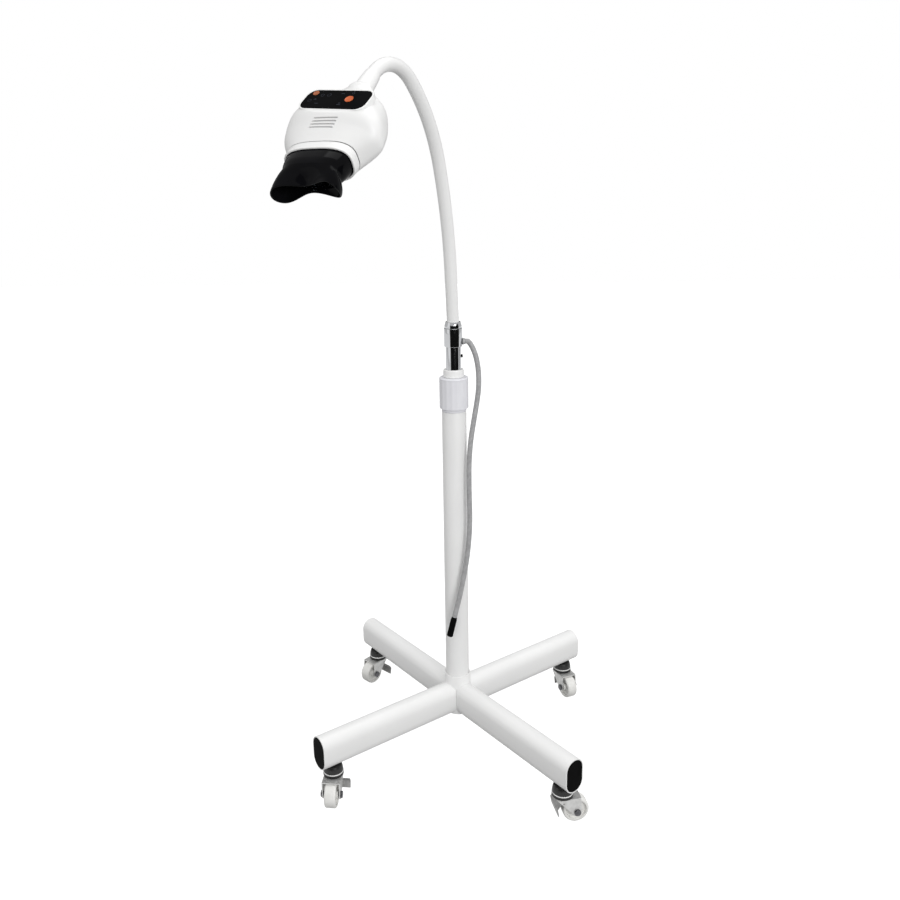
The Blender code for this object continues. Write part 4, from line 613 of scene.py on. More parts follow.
# %% Neck
NECK_HEADING = math.radians(-116.16)
NECK_RADIUS, NECK_WALL, NECK_FOOT = 0.0115, 0.0016, 0.853
NECK_LEAN, LOW_BEND, MIDDLE_BEND = math.radians(3.3), math.radians(12.9), math.radians(30.8)
HEAD_PITCH, HEAD_ROLL = math.radians(43), math.radians(-7)
TOP_BEND = QUARTER + HEAD_PITCH - NECK_LEAN - LOW_BEND - MIDDLE_BEND
NECK_INSERT = 0.014
neck_runs = ((0.033, 0.0), (0.12 * NECK_LEAN, NECK_LEAN), (0.0895, 0.0), (0.9016 * LOW_BEND, LOW_BEND),
             (0.2904 * MIDDLE_BEND, MIDDLE_BEND), (0.0748 * TOP_BEND, TOP_BEND), (0.0345, 0.0))
NECK_STEP = 0.0025


def neck_line():
    """(forward, height) points and slopes along the neck, up to where the head starts."""
    slopes, steps, slope = [], [], 0.0
    for length, bend in neck_runs:
        count = max(2, round(length / NECK_STEP))
        slopes.append(slope + bend * (np.arange(count) + 0.5) / count)
        steps.append(np.full(count, length / count))
        slope += bend
    slopes, steps = np.concatenate(slopes), np.concatenate(steps)
    way = np.stack([np.sin(slopes), np.cos(slopes)], axis=1) * steps[:, None]
    points = np.vstack([[0.0, NECK_FOOT], [0.0, NECK_FOOT] + np.cumsum(way, axis=0)])
    return points, np.append(slopes, slope)


neck_points, neck_slopes = neck_line()
neck_forward = np.array((math.cos(NECK_HEADING), math.sin(NECK_HEADING), 0.0))
neck_side = np.array((-math.sin(NECK_HEADING), math.cos(NECK_HEADING), 0.0))
straight_up = np.array((0.0, 0.0, 1.0))
head_origin = neck_forward * neck_points[-1, 0] + straight_up * neck_points[-1, 1] + AXIS
light_way = neck_forward * math.cos(HEAD_PITCH) - straight_up * math.sin(HEAD_PITCH)
crown_way = neck_forward * math.sin(HEAD_PITCH) + straight_up * math.cos(HEAD_PITCH)
across_way = np.cross(crown_way, light_way)
head_place = axes_at(across_way, crown_way, light_way, head_origin) @ turn(HEAD_ROLL, "Z")


def round_tube(centres, tangents, side_way, outside, wall, sides=48):
    """A tube with a wall: circles square to the tangents, out along one side and back inside."""
    normals = np.cross(tangents, side_way)
    angle = round_turns(sides)
    spokes = normals[:, None] * np.cos(angle)[None, :, None] + side_way * np.sin(angle)[None, :, None]
    outer = centres[:, None] + outside * spokes
    inner = (centres[:, None] + (outside - wall) * spokes)[::-1]
    return np.concatenate([outer, inner])


neck_centres = neck_points[:, :1] * neck_forward + neck_points[:, 1:] * straight_up + AXIS
neck_centres = np.vstack([neck_centres, head_origin + light_way * NECK_INSERT])
neck_slopes = np.append(neck_slopes, neck_slopes[-1])
neck_ways = np.sin(neck_slopes)[:, None] * neck_forward + np.cos(neck_slopes)[:, None] * straight_up
neck_grid = round_tube(neck_centres, neck_ways, neck_side, NECK_RADIUS, NECK_WALL)
neck_mesh = tidied(grid_mesh("neck_skin", neck_grid))
new_piece("neck_skin", neck_mesh, "neck", paint, ("neck_tube",))
BOOT_LENGTH, BOOT_REAR, BOOT_FRONT = 0.034, 0.0130, 0.0152
boot_outline = ((BOOT_FRONT, -GAP), (BOOT_FRONT - 0.0008, -GAP - BOOT_LENGTH / 2),
                (BOOT_REAR, -GAP - BOOT_LENGTH), (NECK_BORE, -GAP - BOOT_LENGTH), (NECK_BORE, -GAP))
turned_piece("boot_skin", boot_outline, head_place, 0.0008, "neck", moulding, "neck_boot")
print("neck", len(neck_centres), "rings; head starts at", head_origin.round(3))

# %% [markdown]
# The head is a soft pod in two shells. Its section is a superellipse |x/w|^n + |y/h|^n = 1 whose
# width, heights and power change along it by smooth curves. It is cut flat under the control
# panel and leans over towards the mouth, where it meets the white front ring.

# %% Head surface
HEAD_LENGTH, HEAD_WIDTH, HEAD_DEPTH, HEAD_CROWN = 0.1459, 0.166, 0.0400, 0.0400
HEAD_HOLE, HEAD_WALL, PARTING_DROP, SEAM = 0.0128, 0.0025, 0.028, 0.0009
TILT_START, MOUTH_SHARE = 0.6, 0.9
FRONT_LEVEL, FRONT_TILT, FRONT_TURN, FRONT_SQUARE = -0.0099, 0.2, 0.12, 2.9
BEZEL_HALF_WIDTH, BEZEL_HALF_HEIGHT = 0.0600, 0.0310
PANEL_PLACE, PANEL_LEVEL, PANEL_LEAN = 0.0660, 0.0348, 0.1
station_shares = np.array((0.0, 0.008, 0.082, 0.247, 0.425, 0.616, 0.808, 1.0))
width_shares = (0.154, 0.197, 0.315, 0.675, 0.85, 0.98, 1.0)
crown_shares = (0.32, 0.375, 0.43, 0.655, 1.0, 1.0, 0.77)
belly_shares = (0.32, 0.395, 0.595, 0.96, 1.03, 0.93, 1.0)
middle_shares = (0.0, 0.0, -0.01, -0.13, -0.22, -0.16, -0.24)
square_shares = (2.0, 2.0, 2.1, 2.2, 2.6, 3.0, 2.4)
mouth_place = shift(0, FRONT_LEVEL, HEAD_LENGTH) @ turn(FRONT_TURN, "Y") @ turn(-FRONT_TILT, "X")
mouth_world = head_place @ mouth_place
HEAD_ROWS, HEAD_AROUND = 150, 192


def smooth_between(values, places, wanted):
    """A cubic through values at places, with slopes from their neighbours, read at wanted places."""
    values = np.array(values, float)
    slopes = np.gradient(values, places)
    i = np.clip(np.searchsorted(places, wanted) - 1, 0, len(places) - 2)
    span = places[i + 1] - places[i]
    t = (wanted - places[i]) / span
    rise = (2 * t**3 - 3 * t**2 + 1) * values[i] + (3 * t**2 - 2 * t**3) * values[i + 1]
    bend = (t**3 - 2 * t**2 + t) * slopes[i] + (t**3 - t**2) * slopes[i + 1]
    return rise + bend * span


def superellipse(half_width, half_height, power, steps):
    """x = w |cos a|^(2/n), y = h |sin a|^(2/n), each with the sign of its cosine or sine."""
    angle = round_turns(steps)
    c, s = np.cos(angle), np.sin(angle)
    x = half_width * np.sign(c) * np.abs(c) ** (2 / power)
    return x, half_height * np.sign(s) * np.abs(s) ** (2 / power)


def head_grid(rows=HEAD_ROWS, around=HEAD_AROUND):
    """The pod's outer surface in the head's frame, rows from the neck's hole to the mouth."""
    shares = np.concatenate([[0.0], np.linspace(0.008, 1.0, rows)])[:, None]
    mouth_height = BEZEL_HALF_HEIGHT * math.cos(FRONT_TILT)

    def along(values, size, last):
        return smooth_between((*[size * value for value in values], last), station_shares, shares)

    width = along(width_shares, HEAD_WIDTH / 2, BEZEL_HALF_WIDTH)
    crown = along(crown_shares, HEAD_CROWN, mouth_height + FRONT_LEVEL)
    belly = along(belly_shares, HEAD_DEPTH, mouth_height - FRONT_LEVEL)
    middle = along(middle_shares, HEAD_CROWN, FRONT_LEVEL)
    x, y = superellipse(width, 1.0, along(square_shares, 1, FRONT_SQUARE), around)
    y = middle + np.where(y > 0, y * (crown - middle), y * (belly + middle))
    place = shares * HEAD_LENGTH
    y = np.minimum(y, PANEL_LEVEL + (place - PANEL_PLACE) * math.tan(PANEL_LEAN))
    lean = math.tan(FRONT_TILT) * (y - middle) + math.tan(FRONT_TURN) * x
    z = place - smoothstep((shares - TILT_START) / (1 - TILT_START)) * lean
    grid = np.stack([x, y, z], axis=-1)
    grid[0] = at_height(*superellipse(HEAD_HOLE, HEAD_HOLE, 2, around), 0.0)
    mouth = superellipse(BEZEL_HALF_WIDTH, BEZEL_HALF_HEIGHT, FRONT_SQUARE, around)
    mouth = placed(at_height(*mouth, -SEAM), mouth_place)
    nearness = smoothstep((shares[:, :, None] - MOUTH_SHARE) / (1 - MOUTH_SHARE))
    return (1 - nearness) * grid + nearness * mouth


def surface_normals(grid):
    """Unit normals of a grid that closes round its columns: the cross product of its two slopes."""
    along = np.gradient(grid, axis=0)
    round_it = np.roll(grid, -1, axis=1) - np.roll(grid, 1, axis=1)
    normal = np.cross(round_it, along)
    return normal / np.maximum(np.linalg.norm(normal, axis=-1, keepdims=True), TINY)


def walled(grid, wall, lip_steps=0):
    """The grid and a copy a wall's thickness inside it, joined at both ends; the far lip may be round."""
    normal = surface_normals(grid)
    outward_sign = np.sign(((grid - grid.mean(axis=1, keepdims=True)) * normal).sum())
    inner = grid - outward_sign * wall * normal
    rows = [grid]
    if lip_steps:
        middle, reach = (grid[-1] + inner[-1]) / 2, (grid[-1] - inner[-1]) / 2
        ahead_way = grid[-1] - grid[-2]
        ahead_way /= np.maximum(np.linalg.norm(ahead_way, axis=-1, keepdims=True), TINY)
        angle = (np.arange(1, lip_steps) * math.pi / lip_steps)[:, None, None]
        rows.append(middle + reach * np.cos(angle) + ahead_way * wall / 2 * np.sin(angle))
    return np.concatenate([*rows, inner[::-1]])


pod = walled(head_grid(), HEAD_WALL)
print("head surface", pod.shape[0], "rows of", pod.shape[1])

# %% [markdown]
# The two shells come from one walled pod. Closed cutters take away what lies past the parting
# plane, the window that the control panel sits in, and the four cooling slots. The Manifold
# solver is quick and exact on closed meshes, and its result is read back as the final mesh.

# %% Head shells
PANEL_WIDTH, PANEL_LENGTH, PANEL_CORNER, PANEL_PROUD = 0.1175, 0.0470, 0.015, 0.0004
RIM_WIDTH, RIM_DEPTH = 0.0022, 0.0100
VENT_COUNT, VENT_WIDTH, VENT_SLOT, VENT_PITCH, VENT_PLACE = 4, 0.043, 0.0020, 0.0045, 0.1048
VENT_STAGGER, VENT_TURN = 0.0016, math.radians(3.7)
panel_frame = head_place @ shift(0, PANEL_LEVEL, PANEL_PLACE) @ turn(-(QUARTER + PANEL_LEAN), "X")


def panel_loop(inset, height, corner_steps=12):
    """A rectangle with round corners at one height, drawn in by an inset."""
    radius = PANEL_CORNER - inset
    angle = np.linspace(0, QUARTER, corner_steps)[None, :] + np.arange(4)[:, None] * QUARTER
    right = np.array((1, -1, -1, 1))[:, None] * (PANEL_WIDTH / 2 - PANEL_CORNER)
    upper = np.array((1, 1, -1, -1))[:, None] * (PANEL_LENGTH / 2 - PANEL_CORNER)
    x, y = right + radius * np.cos(angle), upper + radius * np.sin(angle)
    return at_height(x.ravel(), y.ravel(), height)


def capped_stack(name, loops, matrix):
    """Loops joined in order, with a flat face over each end."""
    rows, count = len(loops), len(loops[0])
    mesh = bpy.data.meshes.new(name)
    faces = [*grid_faces(rows, count, False).tolist(), list(range(count))[::-1],
             list(range((rows - 1) * count, rows * count))]
    mesh.from_pydata(placed(np.concatenate(loops), matrix).tolist(), [], faces)
    return tidied(mesh)


def block(name, low, high, matrix):
    """A box between two corners, as four corners carried from one height to the other."""
    x, y = np.array((high[0], low[0], low[0], high[0])), np.array((high[1], high[1], low[1], low[1]))
    return capped_stack(name, [at_height(x, y, height) for height in (low[2], high[2])], matrix)


def carved(mesh, cutters):
    """The mesh with each closed cutter taken away in turn."""
    body = in_scene("carving", mesh)
    helpers = [in_scene("cutter", cutter) for cutter in cutters]
    for helper in helpers:
        cut = body.modifiers.new("cut", "BOOLEAN")
        cut.operation, cut.solver, cut.object = "DIFFERENCE", "MANIFOLD", helper
    graph = bpy.context.evaluated_depsgraph_get()
    result = bpy.data.meshes.new_from_object(body.evaluated_get(graph))
    for helper in (body, *helpers):
        bpy.data.objects.remove(helper)
    return result


pod_mesh = tidied(grid_mesh("pod", pod, head_place))
half = HEAD_WIDTH
below = block("below", (-half, -half, -half), (half, -PARTING_DROP + GAP / 2, 2 * half), head_place)
above = block("above", (-half, -PARTING_DROP - GAP / 2, -half), (half, half, 2 * half), head_place)
window_loops = [panel_loop(-RIM_WIDTH / 2, height) for height in (-RIM_DEPTH, RIM_DEPTH)]
window = capped_stack("window", window_loops, panel_frame)
slots = []
for i in range(VENT_COUNT):
    slot_place = shift(((VENT_COUNT - 1) / 2 - i) * VENT_STAGGER, 0, VENT_PLACE + i * VENT_PITCH)
    slots.append(block("slot", (-VENT_WIDTH / 2, 0.004, -VENT_SLOT / 2),
                       (VENT_WIDTH / 2, 2 * HEAD_CROWN, VENT_SLOT / 2),
                       head_place @ slot_place @ turn(VENT_TURN, "Y")))
top_mesh = tidied(carved(pod_mesh.copy(), [below, window, *slots]))
new_piece("head_top_skin", top_mesh, "head", moulding, ("head_shell_top",))
bottom_mesh = tidied(carved(pod_mesh, [above]))
new_piece("head_bottom_skin", bottom_mesh, "head", moulding, ("head_shell_bottom",))
print("top shell", len(top_mesh.polygons), "faces; bottom shell", len(bottom_mesh.polygons))

# %% [markdown]
# A slim white rim frames the black panel. It is one outline carried through a rounded section:
# up its outer side, over the top and down inside.

# %% Panel rim, panel and buttons
RIM_ROUND = 0.0007
rim_turns = np.linspace(0, QUARTER, 5)
rim_top = PANEL_PROUD + 0.0003
rim_rows = [(-RIM_WIDTH, -RIM_DEPTH + 0.001)]
rim_rows += [(-RIM_WIDTH + RIM_ROUND * (1 - math.cos(a)), rim_top - RIM_ROUND * (1 - math.sin(a)))
             for a in rim_turns]
rim_rows += [(-RIM_ROUND * (1 - math.sin(a)), rim_top - RIM_ROUND * (1 - math.cos(a))) for a in rim_turns]
rim_rows += [(0.0, -RIM_DEPTH + 0.001)]
rim_loops = np.stack([panel_loop(inset, height) for inset, height in rim_rows])
rim_mesh = grid_mesh("panel_rim", rim_loops, panel_frame)
new_piece("panel_rim", tidied(rim_mesh), "head", moulding)
kept_shape("control_panel", panel_black, 0.0003)
DISH_SHARES = (0.0, 0.2, 0.4, 0.6, 0.8)
BUTTONS = (("power_button", 0.0052, (-0.0452, 0.0152), dull_orange),
           ("start_button", 0.0070, (0.0231, 0.0019), orange))
PANEL_THICKNESS, BUTTON_PROUD, BUTTON_FLANGE = 0.0022, 0.0008, 0.0012
BUTTON_DISH, BUTTON_LIP = 0.0004, 0.0008
for node, radius, (x, y), colour in BUTTONS:
    crown_height, flange_top = PANEL_PROUD + BUTTON_PROUD, PANEL_PROUD - PANEL_THICKNESS - GAP
    dish = [(radius * share, crown_height - BUTTON_DISH * (1 - share**2)) for share in DISH_SHARES]
    outline = [*dish, (radius - 0.0003, crown_height), (radius, crown_height - 0.0004), (radius, flange_top),
               (radius + BUTTON_LIP, flange_top), (radius + BUTTON_LIP, flange_top - BUTTON_FLANGE),
               (0, flange_top - BUTTON_FLANGE)]
    turned_piece(f"{node}_skin", outline, panel_frame @ shift(x, y), 0.0002, node, colour,
                 node, 64)
print("rim", len(rim_mesh.polygons), "faces")

# %% [markdown]
# Small plain marks stand by the buttons: rings and bars such as any panel might carry. Each is a
# thin raised print, a ring or a bar lofted a few hundredths of a millimetre above the panel.

# %% Panel marks
MARK_RAISE = 0.00006


def ring_mark(x, y, radius, line=0.0004, around=36):
    """A flat ring: an outer and an inner circle joined at two heights."""
    rows = ((radius, 0.0), (radius, MARK_RAISE), (radius - line, MARK_RAISE), (radius - line, 0.0))
    angle = round_turns(around)
    grid = np.stack([at_height(x + r * np.cos(angle), y + r * np.sin(angle), z) for r, z in rows])
    return grid.reshape(-1, 3), grid_faces(4, around, True)


def bar_mark(x, y, width, height):
    """A flat bar with square ends: four corners at two heights, closed above and below."""
    corner_x = x + width / 2 * np.array((1, -1, -1, 1))
    corner_y = y + height / 2 * np.array((1, 1, -1, -1))
    points = np.concatenate([at_height(corner_x, corner_y, z) for z in (0.0, MARK_RAISE)])
    faces = np.array(((3, 2, 1, 0), (4, 5, 6, 7), (0, 1, 5, 4), (1, 2, 6, 5), (2, 3, 7, 6), (3, 0, 4, 7)))
    return points, faces


marks = [ring_mark(-0.0179, 0.0108, 0.0034), ring_mark(-0.0300, 0.0100, 0.0030),
         ring_mark(-0.0468, -0.0035, 0.0030), bar_mark(-0.0380, -0.0010, 0.0052, 0.0008),
         bar_mark(-0.0380, 0.0010, 0.0034, 0.0008), bar_mark(-0.0300, -0.0105, 0.0060, 0.0008),
         bar_mark(0.0116, -0.0126, 0.0066, 0.0009), ring_mark(0.0116, -0.0090, 0.0018),
         bar_mark(0.0050, 0.0150, 0.0060, 0.0008), ring_mark(0.0230, 0.0165, 0.0022)]
offset, mark_points, mark_faces = 0, [], []
for points, faces in marks:
    mark_points.append(points)
    mark_faces.append(faces + offset)
    offset += len(points)
mark_matrix = panel_frame @ shift(0, 0, PANEL_PROUD + 0.00002)
mark_mesh = mesh_of("panel_marks", placed(np.concatenate(mark_points), mark_matrix),
                    np.concatenate(mark_faces))
new_piece("panel_marks", tidied(mark_mesh), "head", mark_grey)
print(len(marks), "marks")

# %% [markdown]
# The front ring closes the head's mouth. It is a superellipse carried through a section with a
# round front edge and a flange inside, which holds the window and the mouthpiece.

# %% Front ring
BEZEL_DEPTH, BEZEL_TAPER, BEZEL_WALL, BEZEL_FLANGE, FLANGE_INSET = 0.0150, 0.0010, 0.0028, 0.0025, 0.007
SKIRT_HALF_WIDTH = BEZEL_HALF_WIDTH - BEZEL_WALL - BEZEL_TAPER - GAP
SKIRT_HALF_HEIGHT = BEZEL_HALF_HEIGHT - BEZEL_WALL - BEZEL_TAPER - GAP
bezel_front = GAP + BEZEL_DEPTH
inner_wall = BEZEL_WALL + BEZEL_TAPER
bezel_section = ((0.0, GAP), (BEZEL_TAPER / 2, (GAP + bezel_front) / 2), (BEZEL_TAPER, bezel_front),
                 (inner_wall, bezel_front), (inner_wall, GAP + BEZEL_FLANGE),
                 (inner_wall + FLANGE_INSET, GAP + BEZEL_FLANGE), (inner_wall + FLANGE_INSET, GAP))
section = eased(np.array(bezel_section) + (1.0, 0.0), 0.0009) - (1.0, 0.0)
BEZEL_AROUND = 160
bezel_rows = []
for inset, height in section:
    loop = superellipse(BEZEL_HALF_WIDTH - inset, BEZEL_HALF_HEIGHT - inset, FRONT_SQUARE, BEZEL_AROUND)
    bezel_rows.append(at_height(*loop, height))
bezel_mesh = grid_mesh("front_ring_skin", np.stack(bezel_rows), mouth_world)
new_piece("front_ring_skin", tidied(bezel_mesh), "head", moulding, ("front_bezel",))
print("front ring", len(bezel_mesh.polygons), "faces")

# %% [markdown]
# The mouthpiece is a soft black moulding. Its skirt slips into the front ring, narrows to a
# waist and then spreads into two lobes that wrap round the mouth. Each row blends the skirt's
# superellipse into the lip's bow-tie; the lip is also dropped, tilted, turned and wrapped.

# %% Mouthpiece
MOUTH_ROOT, MOUTH_WALL, MOUTH_WAIST, MOUTH_RIM = 0.0036, 0.0022, 0.0420, 0.0593
MOUTH_WRAP, MOUTH_WRAP_POWER, MOUTH_TILT, MOUTH_TURN, MOUTH_DROP = 0.0134, 2.36, 0.43, 0.15, 0.0127
LOBE_PLACE, LOBE_RADIUS, LOBE_HEIGHT, MOUTH_PINCH = 0.0386, 0.0153, 0.0195, 0.0090
blend_shares = (0.0, 0.0, 0.0, 0.04, 0.12, 0.32, 0.62, 0.88, 1.0)
narrow_shares = (0.0, 0.02, 0.07, 0.13, 0.12, 0.07, 0.02, 0.0, 0.0)
skirt_places = MOUTH_ROOT + (MOUTH_WAIST - MOUTH_ROOT) * np.array((0.0, 0.35, 0.75, 1.0))
lip_places = MOUTH_WAIST + (MOUTH_RIM - MOUTH_WAIST) * np.array((0.15, 0.35, 0.62, 0.85, 1.0))
MOUTH_ROWS, MOUTH_AROUND = 96, 240


def lip_outline(around):
    """A bow-tie: height is round over each lobe's end and pinched between the lobes."""
    angle = round_turns(around)
    x = (LOBE_PLACE + LOBE_RADIUS) * np.cos(angle)
    past = np.clip(np.abs(x) - LOBE_PLACE, 0, LOBE_RADIUS)
    rise = smoothstep(np.abs(x) / LOBE_PLACE)
    height = LOBE_HEIGHT * np.sqrt(np.maximum(1 - (past / LOBE_RADIUS) ** 2, 0))
    height = np.where(past > 0, height, MOUTH_PINCH + (LOBE_HEIGHT - MOUTH_PINCH) * rise)
    return x, height * np.sign(np.round(np.sin(angle), 6))


def mouth_grid(rows=MOUTH_ROWS, around=MOUTH_AROUND):
    """The mouthpiece's outer surface in the mouth's frame, rows from the skirt's root to the rim."""
    stations = np.arange(9.0)
    wanted = np.linspace(0, 8, rows)[:, None]
    blend = np.clip(smooth_between(blend_shares, stations, wanted), 0, 1)
    narrow = 1 - smooth_between(narrow_shares, stations, wanted)
    level_at = smooth_between((*skirt_places, *lip_places), stations, wanted)
    skirt_x, skirt_y = superellipse(SKIRT_HALF_WIDTH, SKIRT_HALF_HEIGHT, FRONT_SQUARE, around)
    lip_x, lip_y = lip_outline(around)
    x = narrow * ((1 - blend) * skirt_x + blend * lip_x)
    y = narrow * ((1 - blend) * skirt_y + blend * lip_y)
    wrap = MOUTH_WRAP * np.abs(x / (LOBE_PLACE + LOBE_RADIUS)) ** MOUTH_WRAP_POWER
    z = level_at + blend * (wrap + MOUTH_TILT * y - MOUTH_TURN * x)
    return np.stack([x, y - blend * MOUTH_DROP, z], axis=-1)


mouth = walled(mouth_grid(), MOUTH_WALL, lip_steps=8)
mouth_mesh = grid_mesh("mouthpiece_skin", mouth, mouth_world)
new_piece("mouthpiece_skin", tidied(mouth_mesh), "head", gloss_black, ("mouthpiece",))
print("mouthpiece", len(mouth_mesh.polygons), "faces")

# %% [markdown]
# Behind the clear window lie the white light box, the board of emitters, the finned sink and the
# fan. Little of them shows, so they keep the model's outlines and get eased edges.

# %% Light engine
kept_shape("light_window", clear, 0.0003)
kept_shape("light_reflector", board_white, 0.0004)
kept_shape("led_board", board_white, 0.0002)
kept_shape("control_board", board_green, 0.0002)
kept_shape("heat_sink", aluminium, 0.0003)
kept_shape("fan_frame", satin_black, 0.0004)
kept_shape("fan_rotor", satin_black, 0.0002)
kept_shape("head_bush", zinc, 0.0004)
print("light engine dressed")

# %% [markdown]
# The arms are flat oval tubes, painted like the column, with a black plastic cap pressed into
# each end. The model's outline is kept and its long edges are already round.

# %% Arms and caps
CORNERS = ("front_left", "front_right", "back_right", "back_left")
for corner in CORNERS:
    kept_shape(f"arm_{corner}", paint)
    kept_shape(f"arm_cap_{corner}", satin_black, 0.0008, 3)
print(len(CORNERS), "arms")

# %% [markdown]
# Each castor hangs from a domed black top with a plated ring round its foot, whose near-white
# colour is partly a painted highlight, the bright line of light along that edge. The top sits over a black
# ball race. A zinc fork holds a nylon wheel with rounded shoulders, and a brake plate stands behind it.

# %% Castors
ARM_ANGLES = [math.radians(-135 + 90 * i) for i in range(4)]
HEADINGS = [math.radians(heading) for heading in (-87, 18, -58, -124)]
CASTOR_REACH, WHEEL_TRAIL, WHEEL_RADIUS, WHEEL_WIDTH = 0.305, 0.0236, 0.0245, 0.0222
HUB_RADIUS, HUB_WIDTH, WEB, WHEEL_RIM, AXLE_BORE = 0.009, 0.026, 0.012, 0.006, 0.0043
DOME_TOP, DOME, DOME_HEIGHT, CASTOR_HEIGHT = 0.0150, 0.0191, 0.0152, 0.0742
RACE, RACE_THICKNESS, RACE_GROOVE, GROOVE_WIDTH = 0.0197, 0.0051, 0.0015, 0.0006
STEM_RADIUS, STEM_LENGTH, KINGPIN, RIVET, RIVET_THICKNESS = 0.005, 0.018, 0.004, 0.007, 0.0014
inner_rim, half_tread = WHEEL_RADIUS - WHEEL_RIM, WHEEL_WIDTH / 2
tread_turns = np.linspace(0, QUARTER, 7)
TREAD_ROUND = WHEEL_WIDTH / 6
upper_wheel = [(AXLE_BORE, HUB_WIDTH / 2), (HUB_RADIUS - 0.0008, HUB_WIDTH / 2), (HUB_RADIUS, WEB / 2),
               (inner_rim, WEB / 2), (inner_rim + 0.0008, half_tread)]
for a in tread_turns:
    upper_wheel.append((WHEEL_RADIUS - TREAD_ROUND * (1 - math.sin(a)),
                        half_tread - TREAD_ROUND * (1 - math.cos(a))))
wheel_outline = upper_wheel + [(radius, -height) for radius, height in reversed(upper_wheel)]
race_top = CASTOR_HEIGHT - DOME_HEIGHT - GROOVE_WIDTH
race_foot = race_top - RACE_THICKNESS
FORK_PLATE = 0.0025
rivet_top = race_foot - GAP - FORK_PLATE - GAP
dome_turns = np.linspace(0, QUARTER, 9)
dome_curve = [(DOME_TOP + (DOME - DOME_TOP) * math.sin(a), CASTOR_HEIGHT - DOME_HEIGHT * (1 - math.cos(a)))
              for a in dome_turns]
neck_radius = DOME - RACE_GROOVE
dome_foot = CASTOR_HEIGHT - DOME_HEIGHT
top_outline = [(0, CASTOR_HEIGHT + STEM_LENGTH), (STEM_RADIUS, CASTOR_HEIGHT + STEM_LENGTH),
               (STEM_RADIUS, CASTOR_HEIGHT), *dome_curve, (neck_radius, dome_foot),
               (neck_radius, race_top), (0, race_top)]
RING_RISE, RING_PROUD = 0.0021, 0.0004
ring_outline = ((DOME + RING_PROUD / 2, dome_foot + RING_RISE), (DOME + RING_PROUD, dome_foot),
                (DOME, race_top), (neck_radius, race_top), (neck_radius, dome_foot + RING_RISE))
race_outline = ((0, race_top), (RACE, race_top), (RACE, race_top - RACE_THICKNESS * 0.4),
                (RACE - 0.0007, race_top - RACE_THICKNESS * 0.5), (RACE, race_top - RACE_THICKNESS * 0.6),
                (RACE, race_foot), (KINGPIN, race_foot), (KINGPIN, rivet_top), (RIVET, rivet_top),
                (RIVET - 0.0008, rivet_top - RIVET_THICKNESS), (0, rivet_top - RIVET_THICKNESS))
for corner, arm_angle, heading in zip(CORNERS, ARM_ANGLES, HEADINGS):
    castor = f"castor_{corner}"
    foot = on_column @ shift(CASTOR_REACH * math.cos(arm_angle), CASTOR_REACH * math.sin(arm_angle))
    turned_piece(f"{castor}_dome", top_outline, foot, 0.0004, "stand", dome_black,
                 f"{castor}_top", 64)
    turned_piece(f"{castor}_race", race_outline, foot, 0.0003, "stand", dome_black,
                 around=64)
    # The ring's near-white colour paints in the bright highlight along the dome's foot.
    turned_piece(f"{castor}_ring", ring_outline, foot, 0.0003, "stand", zinc_and_highlight,
                 around=64)
    wheel_place = foot @ turn(heading, "Z") @ shift(WHEEL_TRAIL, 0, WHEEL_RADIUS) @ turn(QUARTER, "X")
    turned_piece(f"{castor}_wheel_skin", wheel_outline, wheel_place, 0.0005, f"{castor}_wheel", nylon,
                 f"{castor}_wheel")
    kept_shape(f"{castor}_fork", zinc, 0.0005)
    kept_shape(f"{castor}_axle", dark_zinc, 0.0003)
    kept_shape(f"{castor}_brake", brake_zinc, 0.0005)
print("four castors")

# %% [markdown]
# The studio is a plain white floor under large soft lamps. The background is white because the
# world and the floor are seen as white by the camera, not because the lamps are strong: the
# floor still takes the lamp's soft shadow, and pale paint keeps its own tone.

# %% Floor and world
AMBIENT, MIRRORED = 0.8, 0.5
FLOOR_HALF = 9.0


def seen_strength(tree, hidden):
    """A node that gives 1 to camera rays and rays through glass, MIRRORED to mirror rays, else hidden."""
    rays, last_pick = add(tree, "LightPath"), None
    for label, level in (("Is Glossy Ray", MIRRORED), ("Is Transmission Ray", 1.0), ("Is Camera Ray", 1.0)):
        pick = add(tree, "Mix", A=hidden, B=level)
        if last_pick is not None:
            wire(tree, (last_pick, "Result", pick, "A"))
        wire(tree, (rays, label, pick, "Factor"))
        last_pick = pick
    return last_pick


world = bpy.data.worlds.new("studio")
bpy.context.scene.world = world
world.use_nodes = True
sky = world.node_tree
background = with_inputs(sky.nodes["Background"], Color=(1, 1, 1, 1))
wire(sky, (seen_strength(sky, AMBIENT), "Result", background, "Strength"))

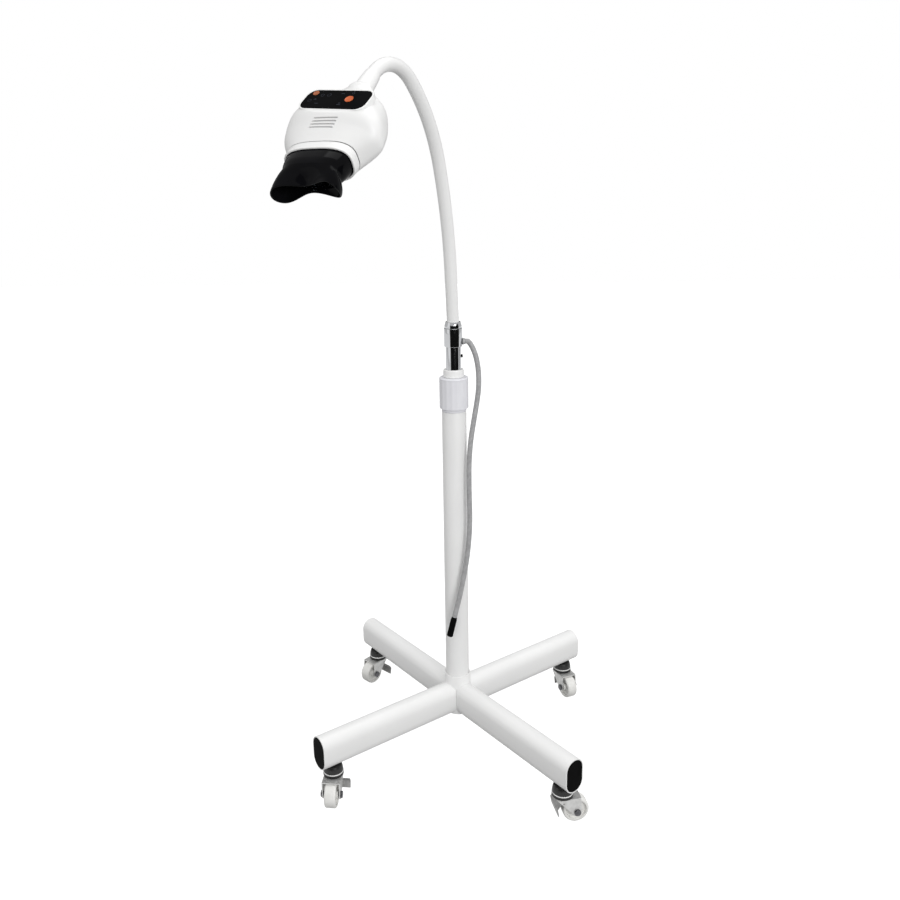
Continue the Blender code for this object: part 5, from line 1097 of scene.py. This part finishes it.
floor_corners = FLOOR_HALF * np.array(((-1, -1, 0), (1, -1, 0), (1, 1, 0), (-1, 1, 0)), float)
floor = in_scene("floor", mesh_of("floor", floor_corners, np.array(((0, 1, 2, 3),))))
floor_paint = bpy.data.materials.new("floor_white")
floor_paint.use_nodes = True
floor_tree = floor_paint.node_tree
floor_shader = with_inputs(floor_tree.nodes["Principled BSDF"], Base_Color=(0.24, 0.24, 0.24, 1),
                           Roughness=0.9, Specular_IOR_Level=0.0, Emission_Color=(1, 1, 1, 1))
wire(floor_tree, (seen_strength(floor_tree, 0.0), "Result", floor_shader, "Emission Strength"))
floor.data.materials.append(floor_paint)
print("floor", 2 * FLOOR_HALF, "m across")

# %% [markdown]
# The main lamp stands on the right, a weak one fills from the left, and one hangs overhead.
# Two dark cards out of view are seen only by mirror rays, as a photographer hangs cards so that
# chrome has something dark to show: a curved one before the mast and a flat one behind the head.

# %% Lamps and cards


def lamp(name, place, aim, size, power):
    """A square area lamp at a place, turned towards a point."""
    light = bpy.data.lights.new(name, "AREA")
    light.shape, light.size, light.energy = "SQUARE", size, power
    holder = in_scene(name, light)
    way = Vector(aim) - Vector(place)
    holder.matrix_world = Matrix.Translation(place) @ way.to_track_quat("-Z", "Y").to_matrix().to_4x4()


AIM = (0.0, 0.0, 0.75)
lamp("key", (1.9, -2.8, 1.7), AIM, 1.4, 50)
lamp("fill", (-2.6, -1.6, 1.5), AIM, 1.8, 3)
lamp("overhead", (0.2, 0.4, 3.0), AIM, 1.6, 11)
CARD_REACH, CARD_STEPS = 1.45, 40
card_black = finish("card_black", (0.01, 0.01, 0.01), (0.012, 0.012, 0.012), 0.9, 0.95, shine=0.0)


def mirror_card(name, grid):
    """A dark card that only mirror rays see."""
    card = in_scene(name, grid_mesh(name, grid, closed_rows=False, closed_columns=False))
    card.data.materials.append(card_black)
    card.visible_camera = card.visible_diffuse = card.visible_shadow = card.visible_transmission = False


camera_angle = math.atan2(eye[1] - AXIS[1], eye[0] - AXIS[0])
sweep = camera_angle + np.linspace(math.radians(-40), math.radians(80), CARD_STEPS)
front_x, front_y = CARD_REACH * np.cos(sweep), CARD_REACH * np.sin(sweep)
front_rows = [at_height(front_x, front_y, height) for height in (0.05, 1.45)]
mirror_card("card_front", np.stack(front_rows) + AXIS)
back_rows = [at_height((-1.6, 1.2), (1.6, 1.6), height) for height in (1.1, 3.6)]
mirror_card("card_back", np.stack(back_rows))
bpy.context.scene.view_settings.view_transform = "Standard"
print("three lamps, two cards")
